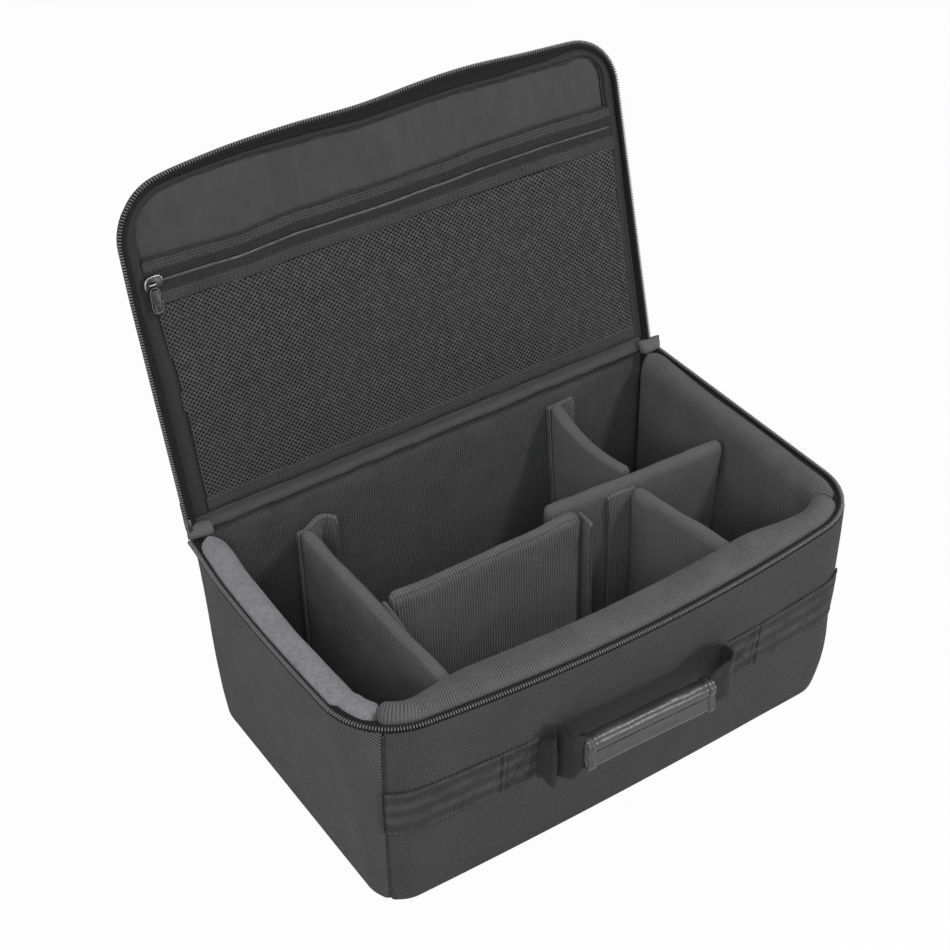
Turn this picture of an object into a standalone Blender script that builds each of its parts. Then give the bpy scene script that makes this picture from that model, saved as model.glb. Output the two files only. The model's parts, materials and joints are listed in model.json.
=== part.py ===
"""Padded camera bag insert with a zipped lid, a lid pocket, a carrying handle and five dividers.

Units are metres. X runs to the right, the front faces -Y, +Z is up, and the origin lies on the
underside below the middle of the box. The lid is built flat in its own frame, whose origin is on the
hinge axis: there -Y runs from the hinge towards the lid's free edge and +Z is the lid's outside.
"""

import bmesh
import bpy
from math import atan2, cos, pi, radians, sin
from mathutils import Euler, Vector

# Clearances
GAP = 0.0003
SLIDE_GAP = 0.0004
PAD_CLEARANCE = 0.0006

# Box, outside, at the base and at the rim
CASE_HEIGHT = 0.160
BASE_HALF_WIDTH = 0.177
RIM_HALF_WIDTH = 0.190
BASE_FRONT = 0.113
RIM_FRONT = 0.125
BASE_BACK = 0.113
RIM_BACK = 0.125
BASE_FRONT_BULGE = 0.0025
RIM_FRONT_BULGE = 0.0105
BASE_CORNER_RADIUS = 0.024
RIM_FRONT_CORNER_RADIUS = 0.046
RIM_BACK_CORNER_RADIUS = 0.034
LEAST_CORNER_RADIUS = 0.004
BOTTOM_EDGE_RADIUS = 0.008
BOTTOM_SEAM_GAP = 0.0008
PANEL_THICKNESS = 0.0015
PANEL_TOP_DROP = 0.003
SEAM_SHARE = 0.5

# Floor
BOARD_THICKNESS = 0.0025
BOARD_EDGE_INSET = 0.0084
FLOOR_PAD_THICKNESS = 0.0104
FLOOR_PAD_EDGE_ROUND = 0.002

# Wall liners
WALL_PAD_THICKNESS = 0.022
BACK_PAD_THICKNESS = 0.020
WALL_PAD_RISE = 0.003
BACK_PAD_DROP = 0.0018
WALL_PAD_ROUND_HEIGHT = 0.014
BACK_PAD_ROUND_HEIGHT = 0.009
SIDE_PAD_BACK_GAP = 0.0058
PAD_BOTTOM_CHAMFER = 0.0030
PAD_END_DROP = 0.004
PAD_CREST_SHARE = 0.51
BACK_PAD_END_SHARE = 0.40
PAD_END_STEP_SHARE = 0.05
PAD_END_DRAW_SHARE = 0.22
MITRE_GAP = 0.0012

# Main zip
TEETH_WIDTH = 0.0026
TEETH_HEIGHT = 0.0024
CASE_TAPE_WIDTH = 0.0028
CASE_TAPE_THICKNESS = 0.0008
ZIP_END_SETBACK = 0.001

# Hinge and lid
HINGE_INSET = 0.026
HINGE_RISE = 0.001
LID_OPEN_DEG = 104
LID_SIDE_INSET = 0.0047
LID_FRONT_OVERHANG = 0.0065
LID_BULGE = 0.005
LID_CORNER_RADIUS = 0.037
LID_THICKNESS = 0.0156
LID_REAR_START = 0.0095
LID_REAR_SLOPE_RUN = 0.013
LID_REAR_CURVE_POWER = 1.2
LID_EDGE_SHARES = (0.0, 0.35, 0.7, 0.9)
LID_COVER_THICKNESS = 0.0012
LID_COVER_EDGE_OFFSET = 0.0015
LID_COVER_EDGE_SLOPE_RUN = 0.012
LID_FOAM_MARGIN = 0.0044
LID_FOAM_DEPTH = 0.0074
LID_TEETH_DEPTH = 0.00015
LID_TEETH_START = 0.0070
LID_TAPE_START = 0.0098
LID_TAPE_DEPTH = 0.0009
LID_TAPE_THICKNESS = 0.0006
BINDING_OFFSET = 0.0083
BINDING_WIDTH = 0.0085
BINDING_DEPTH = 0.0031
BINDING_THICKNESS = 0.0014
LINING_THICKNESS = 0.0012
LINING_REAR_INSET = 0.0036

# Fabric at the hinge
HINGE_STRIP_END_GAP = 0.0005
HINGE_STRIP_THICKNESS = 0.0010
HINGE_STRIP_FOLD_BACK = 0.0032
HINGE_STRIP_FOLD_DROP = 0.0004
ZIP_TAB_WIDTH = 0.0150
ZIP_TAB_DEPTH = 0.0100
ZIP_TAB_HEIGHT = 0.0052
ZIP_TAB_ROUND = 0.0018
ZIP_TAB_LEFT_INSET = 0.0101
ZIP_TAB_RIGHT_INSET = 0.0015

# Lid pocket, heights measured from the hinge axis
POCKET_SIDE_GAP = 0.0005
POCKET_TOP_MARGIN = 0.0493
POCKET_TAPE_THICKNESS = 0.0020
POCKET_BOTTOM_TAPE_LOW = 0.0100
POCKET_BOTTOM_TAPE_HEIGHT = 0.0098
POCKET_LOWER_TAPE_HEIGHT = 0.0062
POCKET_TEETH_HEIGHT = 0.0036
POCKET_TOP_TAPE_HEIGHT = 0.0132
NET_THICKNESS = 0.0006
NET_STRAND = 0.0024
NET_COLUMNS = 18
NET_ROWS = 8
POCKET_DIVIDER_WIDTH = 0.009
POCKET_DIVIDER_TOP_X = 0.0235
POCKET_DIVIDER_LOW_X = 0.0345

# Zip sliders and pullers
SLIDER_LENGTH = 0.0096
SLIDER_WALL = 0.0010
MAIN_SLIDER_START = 0.0024
MAIN_PULLER_LENGTH = 0.020
MAIN_PULLER_WIDTH = 0.0030
MAIN_PULLER_THICKNESS = 0.0012
POCKET_SLIDER_START = 0.0012
POCKET_SLIDER_LENGTH = 0.0090
POCKET_SLIDER_HEIGHT = 0.0072
POCKET_SLIDER_THICKNESS = 0.0012
POCKET_PULLER_LENGTH = 0.0200
POCKET_PULLER_WIDTH = 0.0056
POCKET_PULLER_THICKNESS = 0.0010
POCKET_PULLER_HOLE_SHARE = 0.5
POCKET_PULLER_HOLE_LENGTH_SHARE = 0.55
POCKET_PULLER_SIDE_SHARE = 1.3
PULLER_EDGE_ROUND = 0.0003

# Webbing on the front
BAND_TOP_DROP = 0.053
BAND_HEIGHT = 0.040
BAND_THICKNESS = 0.0016
BAND_END_SHARE = 0.02
BAND_START_SHARE = 0.05
SEWN_GAP = 0.0005

# Handle
GRIP_LEFT_X = -0.058
GRIP_RIGHT_X = 0.040
GRIP_STANDOFF = 0.024
GRIP_RISE = 0.012
GRIP_HEIGHT = 0.029
GRIP_THICKNESS = 0.013
GRIP_END_SCALE = 0.90
GRIP_SECTION_POWER = 0.7
GRIP_STATION_SHARES = (0.0, 0.08, 0.3, 0.7, 0.92, 1.0)
GRIP_BAND_LENGTH = 0.007
GRIP_BAND_THICKNESS = 0.0010
CORE_MARGIN = 0.008
CORE_THICKNESS = 0.003
CORE_OVERHANG = 0.002
CORE_ENTRY_SHARE = 0.8
BORE_HEIGHT_SHARE = 1.05
BORE_THICKNESS_SHARE = 1.45
STRAP_THICKNESS = 0.0022
STRAP_HEIGHT = 0.034
STRAP_LAP = 0.010
STRAP_LEFT_RUN = 0.015
STRAP_RIGHT_RUN = 0.027
PLEAT_SHARES = ((0.0, 0.0), (0.3, 0.7), (0.55, 0.25), (0.82, 0.95), (1.0, 1.0))
LOOP_SHARES = ((0.0, 0.0), (0.2, 0.4), (0.4, 0.8), (0.62, 1.04), (0.82, 1.06), (1.0, 1.0))

# Dividers
DIVIDER_THICKNESS = 0.010
DIVIDER_TOP_DROP = 0.010
DIVIDER_END_SHARES = (0.04, 0.12)
DIVIDER_END_DROP = 0.004
TAB_THICKNESS = 0.0036
TAB_FLOOR_GAP = 0.003
TAB_TOP_DROP = 0.004
TAB_END_DROP = 0.003
LONG_X = -0.115
LONG_BACK_ROOM = 0.0019
LONG_TAB_REACH = 0.020
LONG_TAB_RISE = 0.007
LONG_TAB_CURL_SHARES = ((0.0, 0.3), (0.35, 0.8), (0.65, 1.0), (0.9, 0.5), (1.0, -0.3))
CROSS_LEFT_Y = -0.011
CROSS_LEFT_RIGHT_X = 0.040
CROSS_LEFT_FRONT_TAB = 0.036
CROSS_LEFT_END_TAB = 0.016
CROSS_RIGHT_LEFT_X = 0.022
CROSS_LAP_ROOM = 0.0016
CROSS_RIGHT_SLANT = 0.0076
LAP_TAB_THICKNESS = 0.0026
BACK_DIVIDER_BACK_X = 0.097
BACK_DIVIDER_FRONT_X = 0.092
BACK_DIVIDER_TAB = 0.024
BACK_DIVIDER_DIP = 0.006
FRONT_DIVIDER_BACK_X = 0.085
FRONT_DIVIDER_FRONT_X = 0.097
FRONT_DIVIDER_TAB = 0.014

# How finely curved pieces are divided
CORNER_STEPS = 6
ROLL_STEPS = 4
FRONT_STEPS = 10

SHELL_COLOUR = (0.055, 0.055, 0.057)
PAD_COLOUR = (0.17, 0.17, 0.175)
LIGHT_PAD_COLOUR = (0.23, 0.23, 0.235)
LINING_COLOUR = (0.075, 0.075, 0.077)
WEBBING_COLOUR = (0.06, 0.06, 0.062)
BLACK_COLOUR = (0.012, 0.012, 0.013)
METAL_COLOUR = (0.10, 0.10, 0.11)
GRIP_COLOUR = (0.08, 0.08, 0.083)

BOARD_LOW = PANEL_THICKNESS + GAP
BOARD_HIGH = BOARD_LOW + BOARD_THICKNESS
FLOOR_LOW = BOARD_HIGH + GAP
FLOOR_HIGH = FLOOR_LOW + FLOOR_PAD_THICKNESS
PANEL_LOW = BOTTOM_EDGE_RADIUS + BOTTOM_SEAM_GAP
PANEL_HIGH = CASE_HEIGHT - PANEL_TOP_DROP
PAD_INSET = PANEL_THICKNESS + PAD_CLEARANCE
PAD_FACE_INSET = PAD_INSET + WALL_PAD_THICKNESS
WALL_PAD_TOP = CASE_HEIGHT + WALL_PAD_RISE
BACK_PAD_TOP = CASE_HEIGHT - BACK_PAD_DROP

HINGE_Y = RIM_BACK - HINGE_INSET
HINGE_Z = CASE_HEIGHT + HINGE_RISE
ZIP_END_Y = HINGE_Y - ZIP_END_SETBACK
LID_HALF_WIDTH = RIM_HALF_WIDTH - LID_SIDE_INSET
LID_LENGTH = HINGE_Y + RIM_FRONT + LID_FRONT_OVERHANG
LINING_DEPTH = BINDING_DEPTH + BINDING_THICKNESS + GAP
LID_COVER_EDGE_DEPTH = LINING_DEPTH + LINING_THICKNESS
ZIP_TAB_Y = ZIP_END_Y - SLIDE_GAP
ZIP_TAB_LEFT_X = -(LID_HALF_WIDTH - ZIP_TAB_LEFT_INSET)
ZIP_TAB_RIGHT_X = LID_HALF_WIDTH - ZIP_TAB_RIGHT_INSET
HINGE_STRIP_HALF_WIDTH = -ZIP_TAB_LEFT_X - ZIP_TAB_WIDTH / 2 - HINGE_STRIP_END_GAP
HINGE_STRIP_FOLD_Y = HINGE_Y + HINGE_STRIP_FOLD_BACK
HINGE_STRIP_FOLD_Z = HINGE_Z - HINGE_STRIP_FOLD_DROP

POCKET_HALF_WIDTH = LID_HALF_WIDTH - BINDING_OFFSET - BINDING_WIDTH - POCKET_SIDE_GAP
POCKET_DEPTH = LINING_DEPTH - SLIDE_GAP - POCKET_TAPE_THICKNESS
POCKET_SOLID_HEIGHT = (POCKET_BOTTOM_TAPE_HEIGHT + POCKET_LOWER_TAPE_HEIGHT + POCKET_TEETH_HEIGHT
                       + POCKET_TOP_TAPE_HEIGHT + 4 * GAP)
POCKET_NET_HEIGHT = LID_LENGTH - POCKET_TOP_MARGIN - POCKET_BOTTOM_TAPE_LOW - POCKET_SOLID_HEIGHT
POCKET_SLIDER_X = -(POCKET_HALF_WIDTH - POCKET_SLIDER_START)

BAND_LOW = CASE_HEIGHT - BAND_TOP_DROP - BAND_HEIGHT
GRIP_Y = -(RIM_FRONT + GRIP_STANDOFF)
GRIP_Z = BAND_LOW + BAND_HEIGHT / 2 + GRIP_RISE
BAND_LEFT_END_X = GRIP_LEFT_X - STRAP_LEFT_RUN
BAND_RIGHT_END_X = GRIP_RIGHT_X + STRAP_RIGHT_RUN
CORE_HEIGHT = GRIP_HEIGHT - CORE_MARGIN

DIVIDER_TOP = CASE_HEIGHT - DIVIDER_TOP_DROP
TAB_LOW = FLOOR_HIGH + TAB_FLOOR_GAP
TAB_TOP = DIVIDER_TOP - TAB_TOP_DROP
BACK_PAD_FACE_Y = min(BASE_BACK, RIM_BACK) - PAD_INSET - BACK_PAD_THICKNESS
LONG_BACK_Y = BACK_PAD_FACE_Y - SLIDE_GAP - TAB_THICKNESS - LONG_TAB_RISE - LONG_BACK_ROOM
CROSS_RIGHT_LEFT_Y = CROSS_LEFT_Y + DIVIDER_THICKNESS + SLIDE_GAP + LAP_TAB_THICKNESS + CROSS_LAP_ROOM
CROSS_RIGHT_RIGHT_Y = CROSS_RIGHT_LEFT_Y - CROSS_RIGHT_SLANT


def mix(a, b, share):
    """Value at a share of the way from a to b."""
    return a + (b - a) * share


def steps(count, first=0.0, last=1.0):
    """Evenly spaced shares, both ends included."""
    return [mix(first, last, i / count) for i in range(count + 1)]


# Outlines


def u_point(half, reach, bulge, radius, part, share, back=0.0):
    """Point on a three-sided outline: left side, front with a bulge, right side.

    Each side part runs along the walk left, front_left, front, front_right, right. back is the y at
    which the two sides end.
    """
    straight = half - radius
    turn = atan2(straight, 2 * bulge) if bulge > 0 else pi / 2
    centre_y = -reach + radius * sin(turn)
    span = straight + radius * cos(turn)
    if part == "front":
        x = mix(-span, span, share)
        return x, -reach - bulge * (1 - (x / span) ** 2)
    if part == "left":
        return -half, mix(back, centre_y, share)
    if part == "right":
        return half, mix(centre_y, back, share)
    angle = turn * (share if part == "front_left" else 1 - share)
    x = straight + radius * cos(angle)
    y = centre_y - radius * sin(angle)
    return (-x, y) if part == "front_left" else (x, y)


def case_point(part, share, z, inset, back=None):
    """Point of the box's outline at a height, moved inwards by inset."""
    level = z / CASE_HEIGHT
    half = mix(BASE_HALF_WIDTH, RIM_HALF_WIDTH, level) - inset
    front = mix(BASE_FRONT, RIM_FRONT, level) - inset
    rear = mix(BASE_BACK, RIM_BACK, level) - inset
    bulge = mix(BASE_FRONT_BULGE, RIM_FRONT_BULGE, level)
    rear_radius = max(mix(BASE_CORNER_RADIUS, RIM_BACK_CORNER_RADIUS, level) - inset, LEAST_CORNER_RADIUS)
    if part == "back":
        return mix(half - rear_radius, -half + rear_radius, share), rear
    if part in ("back_right", "back_left"):
        angle = pi / 2 * (share if part == "back_right" else 1 - share)
        x = half - rear_radius + rear_radius * cos(angle)
        y = rear - rear_radius + rear_radius * sin(angle)
        return (x, y) if part == "back_right" else (-x, y)
    radius = max(mix(BASE_CORNER_RADIUS, RIM_FRONT_CORNER_RADIUS, level) - inset, LEAST_CORNER_RADIUS)
    end = rear - rear_radius if back is None else back
    return u_point(half, front, bulge, radius, part, share, end)


def front_y(x, z, inset):
    """Y of the box's front outline at x, between the corners."""
    level = z / CASE_HEIGHT
    half = mix(BASE_HALF_WIDTH, RIM_HALF_WIDTH, level) - inset
    radius = max(mix(BASE_CORNER_RADIUS, RIM_FRONT_CORNER_RADIUS, level) - inset, LEAST_CORNER_RADIUS)
    bulge = mix(BASE_FRONT_BULGE, RIM_FRONT_BULGE, level)
    straight = half - radius
    span = straight + radius * cos(atan2(straight, 2 * bulge))
    return -mix(BASE_FRONT, RIM_FRONT, level) + inset - bulge * (1 - (x / span) ** 2)


def side_x(z, inset):
    """Distance from the middle to a side wall at a height."""
    return mix(BASE_HALF_WIDTH, RIM_HALF_WIDTH, z / CASE_HEIGHT) - inset


def back_y(z, inset):
    """Y of the back wall at a height."""
    return mix(BASE_BACK, RIM_BACK, z / CASE_HEIGHT) - inset


def lid_point(part, share, offset, start):
    """Point of the lid's outline, moved inwards by offset; its sides start that far from the axis."""
    radius = LID_CORNER_RADIUS - offset
    return u_point(LID_HALF_WIDTH - offset, LID_LENGTH - offset, LID_BULGE, radius, part, share, -start)


def u_stations():
    """Stations along a three-sided outline."""
    walk = [("left", s) for s in (0.0, 0.5)]
    walk += [("front_left", s) for s in steps(CORNER_STEPS)[:-1]]
    walk += [("front", s) for s in steps(FRONT_STEPS)]
    walk += [("front_right", s) for s in steps(CORNER_STEPS)[1:]]
    return walk + [("right", s) for s in (0.5, 1.0)]


# Mesh building


def material(name, colour, roughness=0.9, metallic=0.0):
    """Principled material of one colour."""
    made = bpy.data.materials.get(name)
    if made is None:
        made = bpy.data.materials.new(name)
        made.use_nodes = True
        shader = made.node_tree.nodes["Principled BSDF"]
        shader.inputs["Base Color"].default_value = (*colour, 1.0)
        shader.inputs["Roughness"].default_value = roughness
        shader.inputs["Metallic"].default_value = metallic
    return made


def add_object(name, mesh, finish, parent=None):
    """New object of the insert, under a parent if one is given."""
    obj = bpy.data.objects.new(name, mesh)
    bpy.data.collections["camera_bag_insert"].objects.link(obj)
    mesh.materials.append(material(*finish))
    obj.parent = parent
    return obj


def finish_mesh(bm, name, smooth):
    """Mesh from a bmesh, with its faces turned outwards."""
    bmesh.ops.recalc_face_normals(bm, faces=bm.faces)
    mesh = bpy.data.meshes.new(name)
    bm.to_mesh(mesh)
    bm.free()
    if smooth:
        mesh.shade_smooth()
        mesh.set_sharp_from_angle(angle=radians(50))
    return mesh


def loft(name, rings, finish, parent=None, smooth=True):
    """Closed solid through rings of points, capped at both ends."""
    bm = bmesh.new()
    loops = [[bm.verts.new(point) for point in ring] for ring in rings]
    count = len(loops[0])
    for low, high in zip(loops, loops[1:]):
        for i in range(count):
            j = (i + 1) % count
            bm.faces.new((low[i], low[j], high[j], high[i]))
    bm.faces.new(list(reversed(loops[0])))
    bm.faces.new(loops[-1])
    return add_object(name, finish_mesh(bm, name, smooth), finish, parent)


def sleeve(name, outer, inner, finish, parent=None):
    """Tube through outer rings with a bore through inner rings."""
    bm = bmesh.new()
    skins = [[[bm.verts.new(point) for point in ring] for ring in rings] for rings in (outer, inner)]
    count = len(outer[0])
    for skin in skins:
        for low, high in zip(skin, skin[1:]):
            for i in range(count):
                j = (i + 1) % count
                bm.faces.new((low[i], low[j], high[j], high[i]))
    for end in (0, -1):
        for i in range(count):
            j = (i + 1) % count
            bm.faces.new((skins[0][end][i], skins[0][end][j], skins[1][end][j], skins[1][end][i]))
    return add_object(name, finish_mesh(bm, name, True), finish, parent)


def sheet(name, rows, thickness, finish, closed=False, cap=False, parent=None):
    """Open surface through rows of points, thickened towards its inside."""
    bm = bmesh.new()
    grid = [[bm.verts.new(point) for point in row] for row in rows]
    count = len(grid[0])
    for low, high in zip(grid, grid[1:]):
        for i in range(count if closed else count - 1):
            j = (i + 1) % count
            bm.faces.new((low[i], low[j], high[j], high[i]))
    if cap:
        bm.faces.new(grid[-1] if cap == "last" else list(reversed(grid[0])))
    mesh = bpy.data.meshes.new(name)
    bm.to_mesh(mesh)
    bm.free()
    mesh.shade_smooth()
    obj = add_object(name, mesh, finish, parent)
    solid = obj.modifiers.new("thickness", "SOLIDIFY")
    solid.thickness = thickness
    solid.offset = -1
    solid.use_even_offset = True
    return obj


def block(name, low, high, finish, parent=None, rounding=0.0):
    """Box between two corners, with rounded edges if asked."""
    bm = bmesh.new()
    bmesh.ops.create_cube(bm, size=1)
    size = Vector(high) - Vector(low)
    bmesh.ops.scale(bm, vec=size, verts=bm.verts)
    bmesh.ops.translate(bm, vec=(Vector(high) + Vector(low)) / 2, verts=bm.verts)
    if rounding > 0:
        bmesh.ops.bevel(bm, geom=bm.edges, offset=rounding, segments=2, profile=0.5, affect="EDGES")
    return add_object(name, finish_mesh(bm, name, rounding > 0), finish, parent)


def pivot(name, place, turn=(0.0, 0.0, 0.0), parent=None):
    """Empty that carries the pieces that move about it."""
    empty = bpy.data.objects.new(name, None)
    bpy.data.collections["camera_bag_insert"].objects.link(empty)
    empty.parent = parent
    empty.location = place
    empty.rotation_euler = Euler(turn)
    return empty


def roll(width, base, top, height, crest_share):
    """Half-round top of a pad: points from one side over the crest to the other."""
    crest = width * crest_share
    points = []
    for i in range(ROLL_STEPS + 1):
        angle = pi / 2 * i / ROLL_STEPS
        points.append((crest * (1 - cos(angle)), top - height * (1 - sin(angle))))
    for i in range(1, ROLL_STEPS + 1):
        angle = pi / 2 * i / ROLL_STEPS
        points.append((crest + (width - crest) * sin(angle), top - height * (1 - cos(angle))))
    return points


def pad_profile(width, low, top, height):
    """Section of a wall liner: distance from its outer side, and height."""
    chamfer_rise = PANEL_LOW + GAP - FLOOR_LOW
    section = [(PAD_BOTTOM_CHAMFER, low), (0.0, low + chamfer_rise), (0.0, mix(low, top, 0.5))]
    section += roll(width, low, top, height, PAD_CREST_SHARE)
    return section + [(width, mix(low, top, 0.5)), (width, low)]


# Box body


def make_panels():
    """Four fabric walls, parted at the seams on the corners."""
    finish = ("shell_fabric", SHELL_COLOUR, 0.9)
    cut = GAP / (BASE_CORNER_RADIUS * pi / 2)
    front = [("front_left", s) for s in steps(CORNER_STEPS, SEAM_SHARE + cut)[:-1]]
    front += [("front", s) for s in steps(FRONT_STEPS)]
    front += [("front_right", s) for s in steps(CORNER_STEPS, 0.0, 1 - SEAM_SHARE - cut)[1:]]
    right = [("front_right", s) for s in steps(CORNER_STEPS, 1 - SEAM_SHARE + cut)[:-1]]
    right += [("right", s) for s in steps(4)[:-1]]
    right += [("back_right", s) for s in steps(CORNER_STEPS, 0.0, 0.5 - cut)]
    back = [("back_right", s) for s in steps(CORNER_STEPS, 0.5 + cut)[:-1]]
    back += [("back", s) for s in steps(4)[:-1]]
    back += [("back_left", s) for s in steps(CORNER_STEPS, 0.0, 0.5 - cut)]
    left = [("back_left", s) for s in steps(CORNER_STEPS, 0.5 + cut)[:-1]]
    left += [("left", s) for s in steps(4)[:-1]]
    left += [("front_left", s) for s in steps(CORNER_STEPS, 0.0, SEAM_SHARE - cut)]
    heights = [mix(PANEL_LOW, PANEL_HIGH, s) for s in steps(3)]
    for name, walk in (("front", front), ("right", right), ("back", back), ("left", left)):
        rows = [[(*case_point(part, share, z, 0.0), z) for part, share in walk] for z in heights]
        sheet(name + "_panel", rows, PANEL_THICKNESS, finish)


def full_walk():
    """Stations round the whole box, counter-clockwise from the back left corner."""
    walk = [("left", s) for s in steps(2)[:-1]]
    walk += [("front_left", s) for s in steps(CORNER_STEPS)[:-1]]
    walk += [("front", s) for s in steps(FRONT_STEPS)[:-1]]
    walk += [("front_right", s) for s in steps(CORNER_STEPS)[:-1]]
    walk += [("right", s) for s in steps(2)[:-1]]
    walk += [("back_right", s) for s in steps(CORNER_STEPS)[:-1]]
    walk += [("back", s) for s in steps(2)[:-1]]
    return walk + [("back_left", s) for s in steps(CORNER_STEPS)[:-1]]


def make_floor():
    """Fabric tray, base board and padded floor."""
    rows = []
    for share in steps(3):
        angle = pi / 2 * share
        z = BOTTOM_EDGE_RADIUS * (1 - cos(angle))
        inset = BOTTOM_EDGE_RADIUS * (1 - sin(angle))
        rows.append([(*case_point(part, s, z, inset), z) for part, s in full_walk()])
    shell = ("shell_fabric", SHELL_COLOUR, 0.9)
    sheet("bottom_panel", rows, PANEL_THICKNESS, shell, closed=True, cap="first")
    board = [[(*case_point(part, s, 0.0, BOARD_EDGE_INSET), z) for part, s in full_walk()]
             for z in (BOARD_LOW, BOARD_HIGH)]
    loft("bottom_board", board, ("board", BLACK_COLOUR, 0.7), smooth=False)
    clear = PAD_FACE_INSET + GAP
    depths = [(FLOOR_PAD_EDGE_ROUND, FLOOR_LOW), (0.0, mix(FLOOR_LOW, FLOOR_HIGH, 0.5)),
              (FLOOR_PAD_EDGE_ROUND, FLOOR_HIGH)]
    pad = [[(*floor_point(part, s, clear + inset), z) for part, s in full_walk()] for inset, z in depths]
    loft("floor_pad", pad, ("pad_fabric", PAD_COLOUR, 0.95))


def floor_point(part, share, inset):
    """Outline of the padded floor, whose back is set by the back liner."""
    x, y = case_point(part, share, FLOOR_LOW, inset)
    back = back_y(FLOOR_LOW, PAD_INSET + BACK_PAD_THICKNESS + GAP) - (inset - PAD_FACE_INSET)
    return x, min(y, back)


def pad_ring(part, share, profile, draw=0.0, shift=(0.0, 0.0)):
    """Section of a wall liner at a station, drawn in by a share and shifted at its ends."""
    middle = WALL_PAD_THICKNESS / 2
    ring = []
    for across, z in profile:
        depth = PAD_INSET + mix(across, middle, draw)
        lowered = z - PAD_END_DROP * draw * (z - FLOOR_LOW) / CASE_HEIGHT
        back = back_y(lowered, PAD_INSET + BACK_PAD_THICKNESS + SIDE_PAD_BACK_GAP)
        x, y = case_point(part, share, lowered, depth, back)
        ring.append((x + shift[0], y + shift[1], lowered))
    return ring


def make_wall_pads():
    """Front, left and right liners, mitred at the front corners."""
    profile = pad_profile(WALL_PAD_THICKNESS, FLOOR_LOW, WALL_PAD_TOP, WALL_PAD_ROUND_HEIGHT)
    half_left = [("front_left", s) for s in (0.5, 0.5 + PAD_END_STEP_SHARE, 0.75)]
    half_right = [("front_right", 1 - share) for part, share in reversed(half_left)]
    front = half_left + [("front", s) for s in steps(FRONT_STEPS)] + half_right
    left = [("left", s) for s in (0.0, PAD_END_STEP_SHARE, 0.5)]
    left += [("front_left", s) for s in (0.0, 0.25, 0.5 - PAD_END_STEP_SHARE, 0.5)]
    right = [(part.replace("left", "right"), 1 - share) for part, share in reversed(left)]
    away = MITRE_GAP / 2
    for name, walk, finish, shifts in (
            ("front_pad", front, PAD_COLOUR, ((away, -away), (-away, -away))),
            ("left_pad", left, LIGHT_PAD_COLOUR, ((0.0, 0.0), (-away, away))),
            ("right_pad", right, PAD_COLOUR, ((away, away), (0.0, 0.0)))):
        rings = []
        last = len(walk) - 1
        for i, (part, share) in enumerate(walk):
            shift = shifts[0] if i == 0 else shifts[1] if i == last else (0.0, 0.0)
            draw = PAD_END_DRAW_SHARE if i in (0, last) else 0.0
            rings.append(pad_ring(part, share, profile, draw, shift))
        loft(name, rings, (name + "_fabric", finish, 0.95))


def make_back_pad():
    """Back liner, whose ends fit into the rounded back corners."""
    profile = pad_profile(BACK_PAD_THICKNESS, FLOOR_LOW, BACK_PAD_TOP, BACK_PAD_ROUND_HEIGHT)
    profile = [(across / BACK_PAD_THICKNESS, z) for across, z in profile]
    walk = [("back_right", s) for s in (BACK_PAD_END_SHARE, 0.6, 0.8)]
    walk += [("back", s) for s in steps(6)]
    walk += [("back_left", s) for s in (0.2, 0.4, 1 - BACK_PAD_END_SHARE)]
    rings = []
    for part, share in walk:
        ring = []
        for across, z in profile:
            chamfer = PAD_BOTTOM_CHAMFER if z == FLOOR_LOW else 0.0
            x, outer = case_point(part, share, z, PAD_INSET + chamfer)
            inner = back_y(z, PAD_INSET + BACK_PAD_THICKNESS)
            ring.append((x, mix(outer, inner, across), z))
        rings.append(ring)
    loft("back_pad", rings, ("pad_fabric", PAD_COLOUR, 0.95))


def case_strip(name, low, high, inset, width, finish):
    """Strip along the rim from zip end to zip end."""
    walk = [("left", s) for s in steps(3)[:-1]]
    walk += [("front_left", s) for s in steps(CORNER_STEPS)[:-1]]
    walk += [("front", s) for s in steps(FRONT_STEPS)]
    walk += [("front_right", s) for s in steps(CORNER_STEPS)[1:]]
    walk += [("right", s) for s in steps(3)[1:]]
    rings = []
    for part, share in walk:
        outer = case_point(part, share, CASE_HEIGHT, inset, ZIP_END_Y)
        inner = case_point(part, share, CASE_HEIGHT, inset + width, ZIP_END_Y)
        rings.append([(*outer, low), (*inner, low), (*inner, high), (*outer, high)])
    loft(name, rings, finish, smooth=False)


def make_case_zip():
    """Tape and teeth on the rim of the box."""
    low = PANEL_HIGH + GAP
    tape_top = low + CASE_TAPE_THICKNESS
    black = ("zip_black", BLACK_COLOUR, 0.6)
    case_strip("case_zip_tape", low, tape_top, 0.0, CASE_TAPE_WIDTH, black)
    case_strip("case_zip_teeth", tape_top + GAP, tape_top + GAP + TEETH_HEIGHT, 0.0, TEETH_WIDTH, black)


def make_zip_tabs():
    """Folded fabric over the two ends of the main zip."""
    finish = ("tab_fabric", PAD_COLOUR, 0.9)
    low_z = BACK_PAD_TOP + GAP
    for name, x in (("zip_tab_left", ZIP_TAB_LEFT_X), ("zip_tab_right", ZIP_TAB_RIGHT_X)):
        half = ZIP_TAB_WIDTH / 2
        y = ZIP_TAB_Y + (GAP + CASE_TAPE_THICKNESS if x > 0 else 0.0)
        high = (x + half, y + ZIP_TAB_DEPTH, low_z + ZIP_TAB_HEIGHT)
        block(name, (x - half, y, low_z), high, finish, rounding=ZIP_TAB_ROUND)


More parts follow.
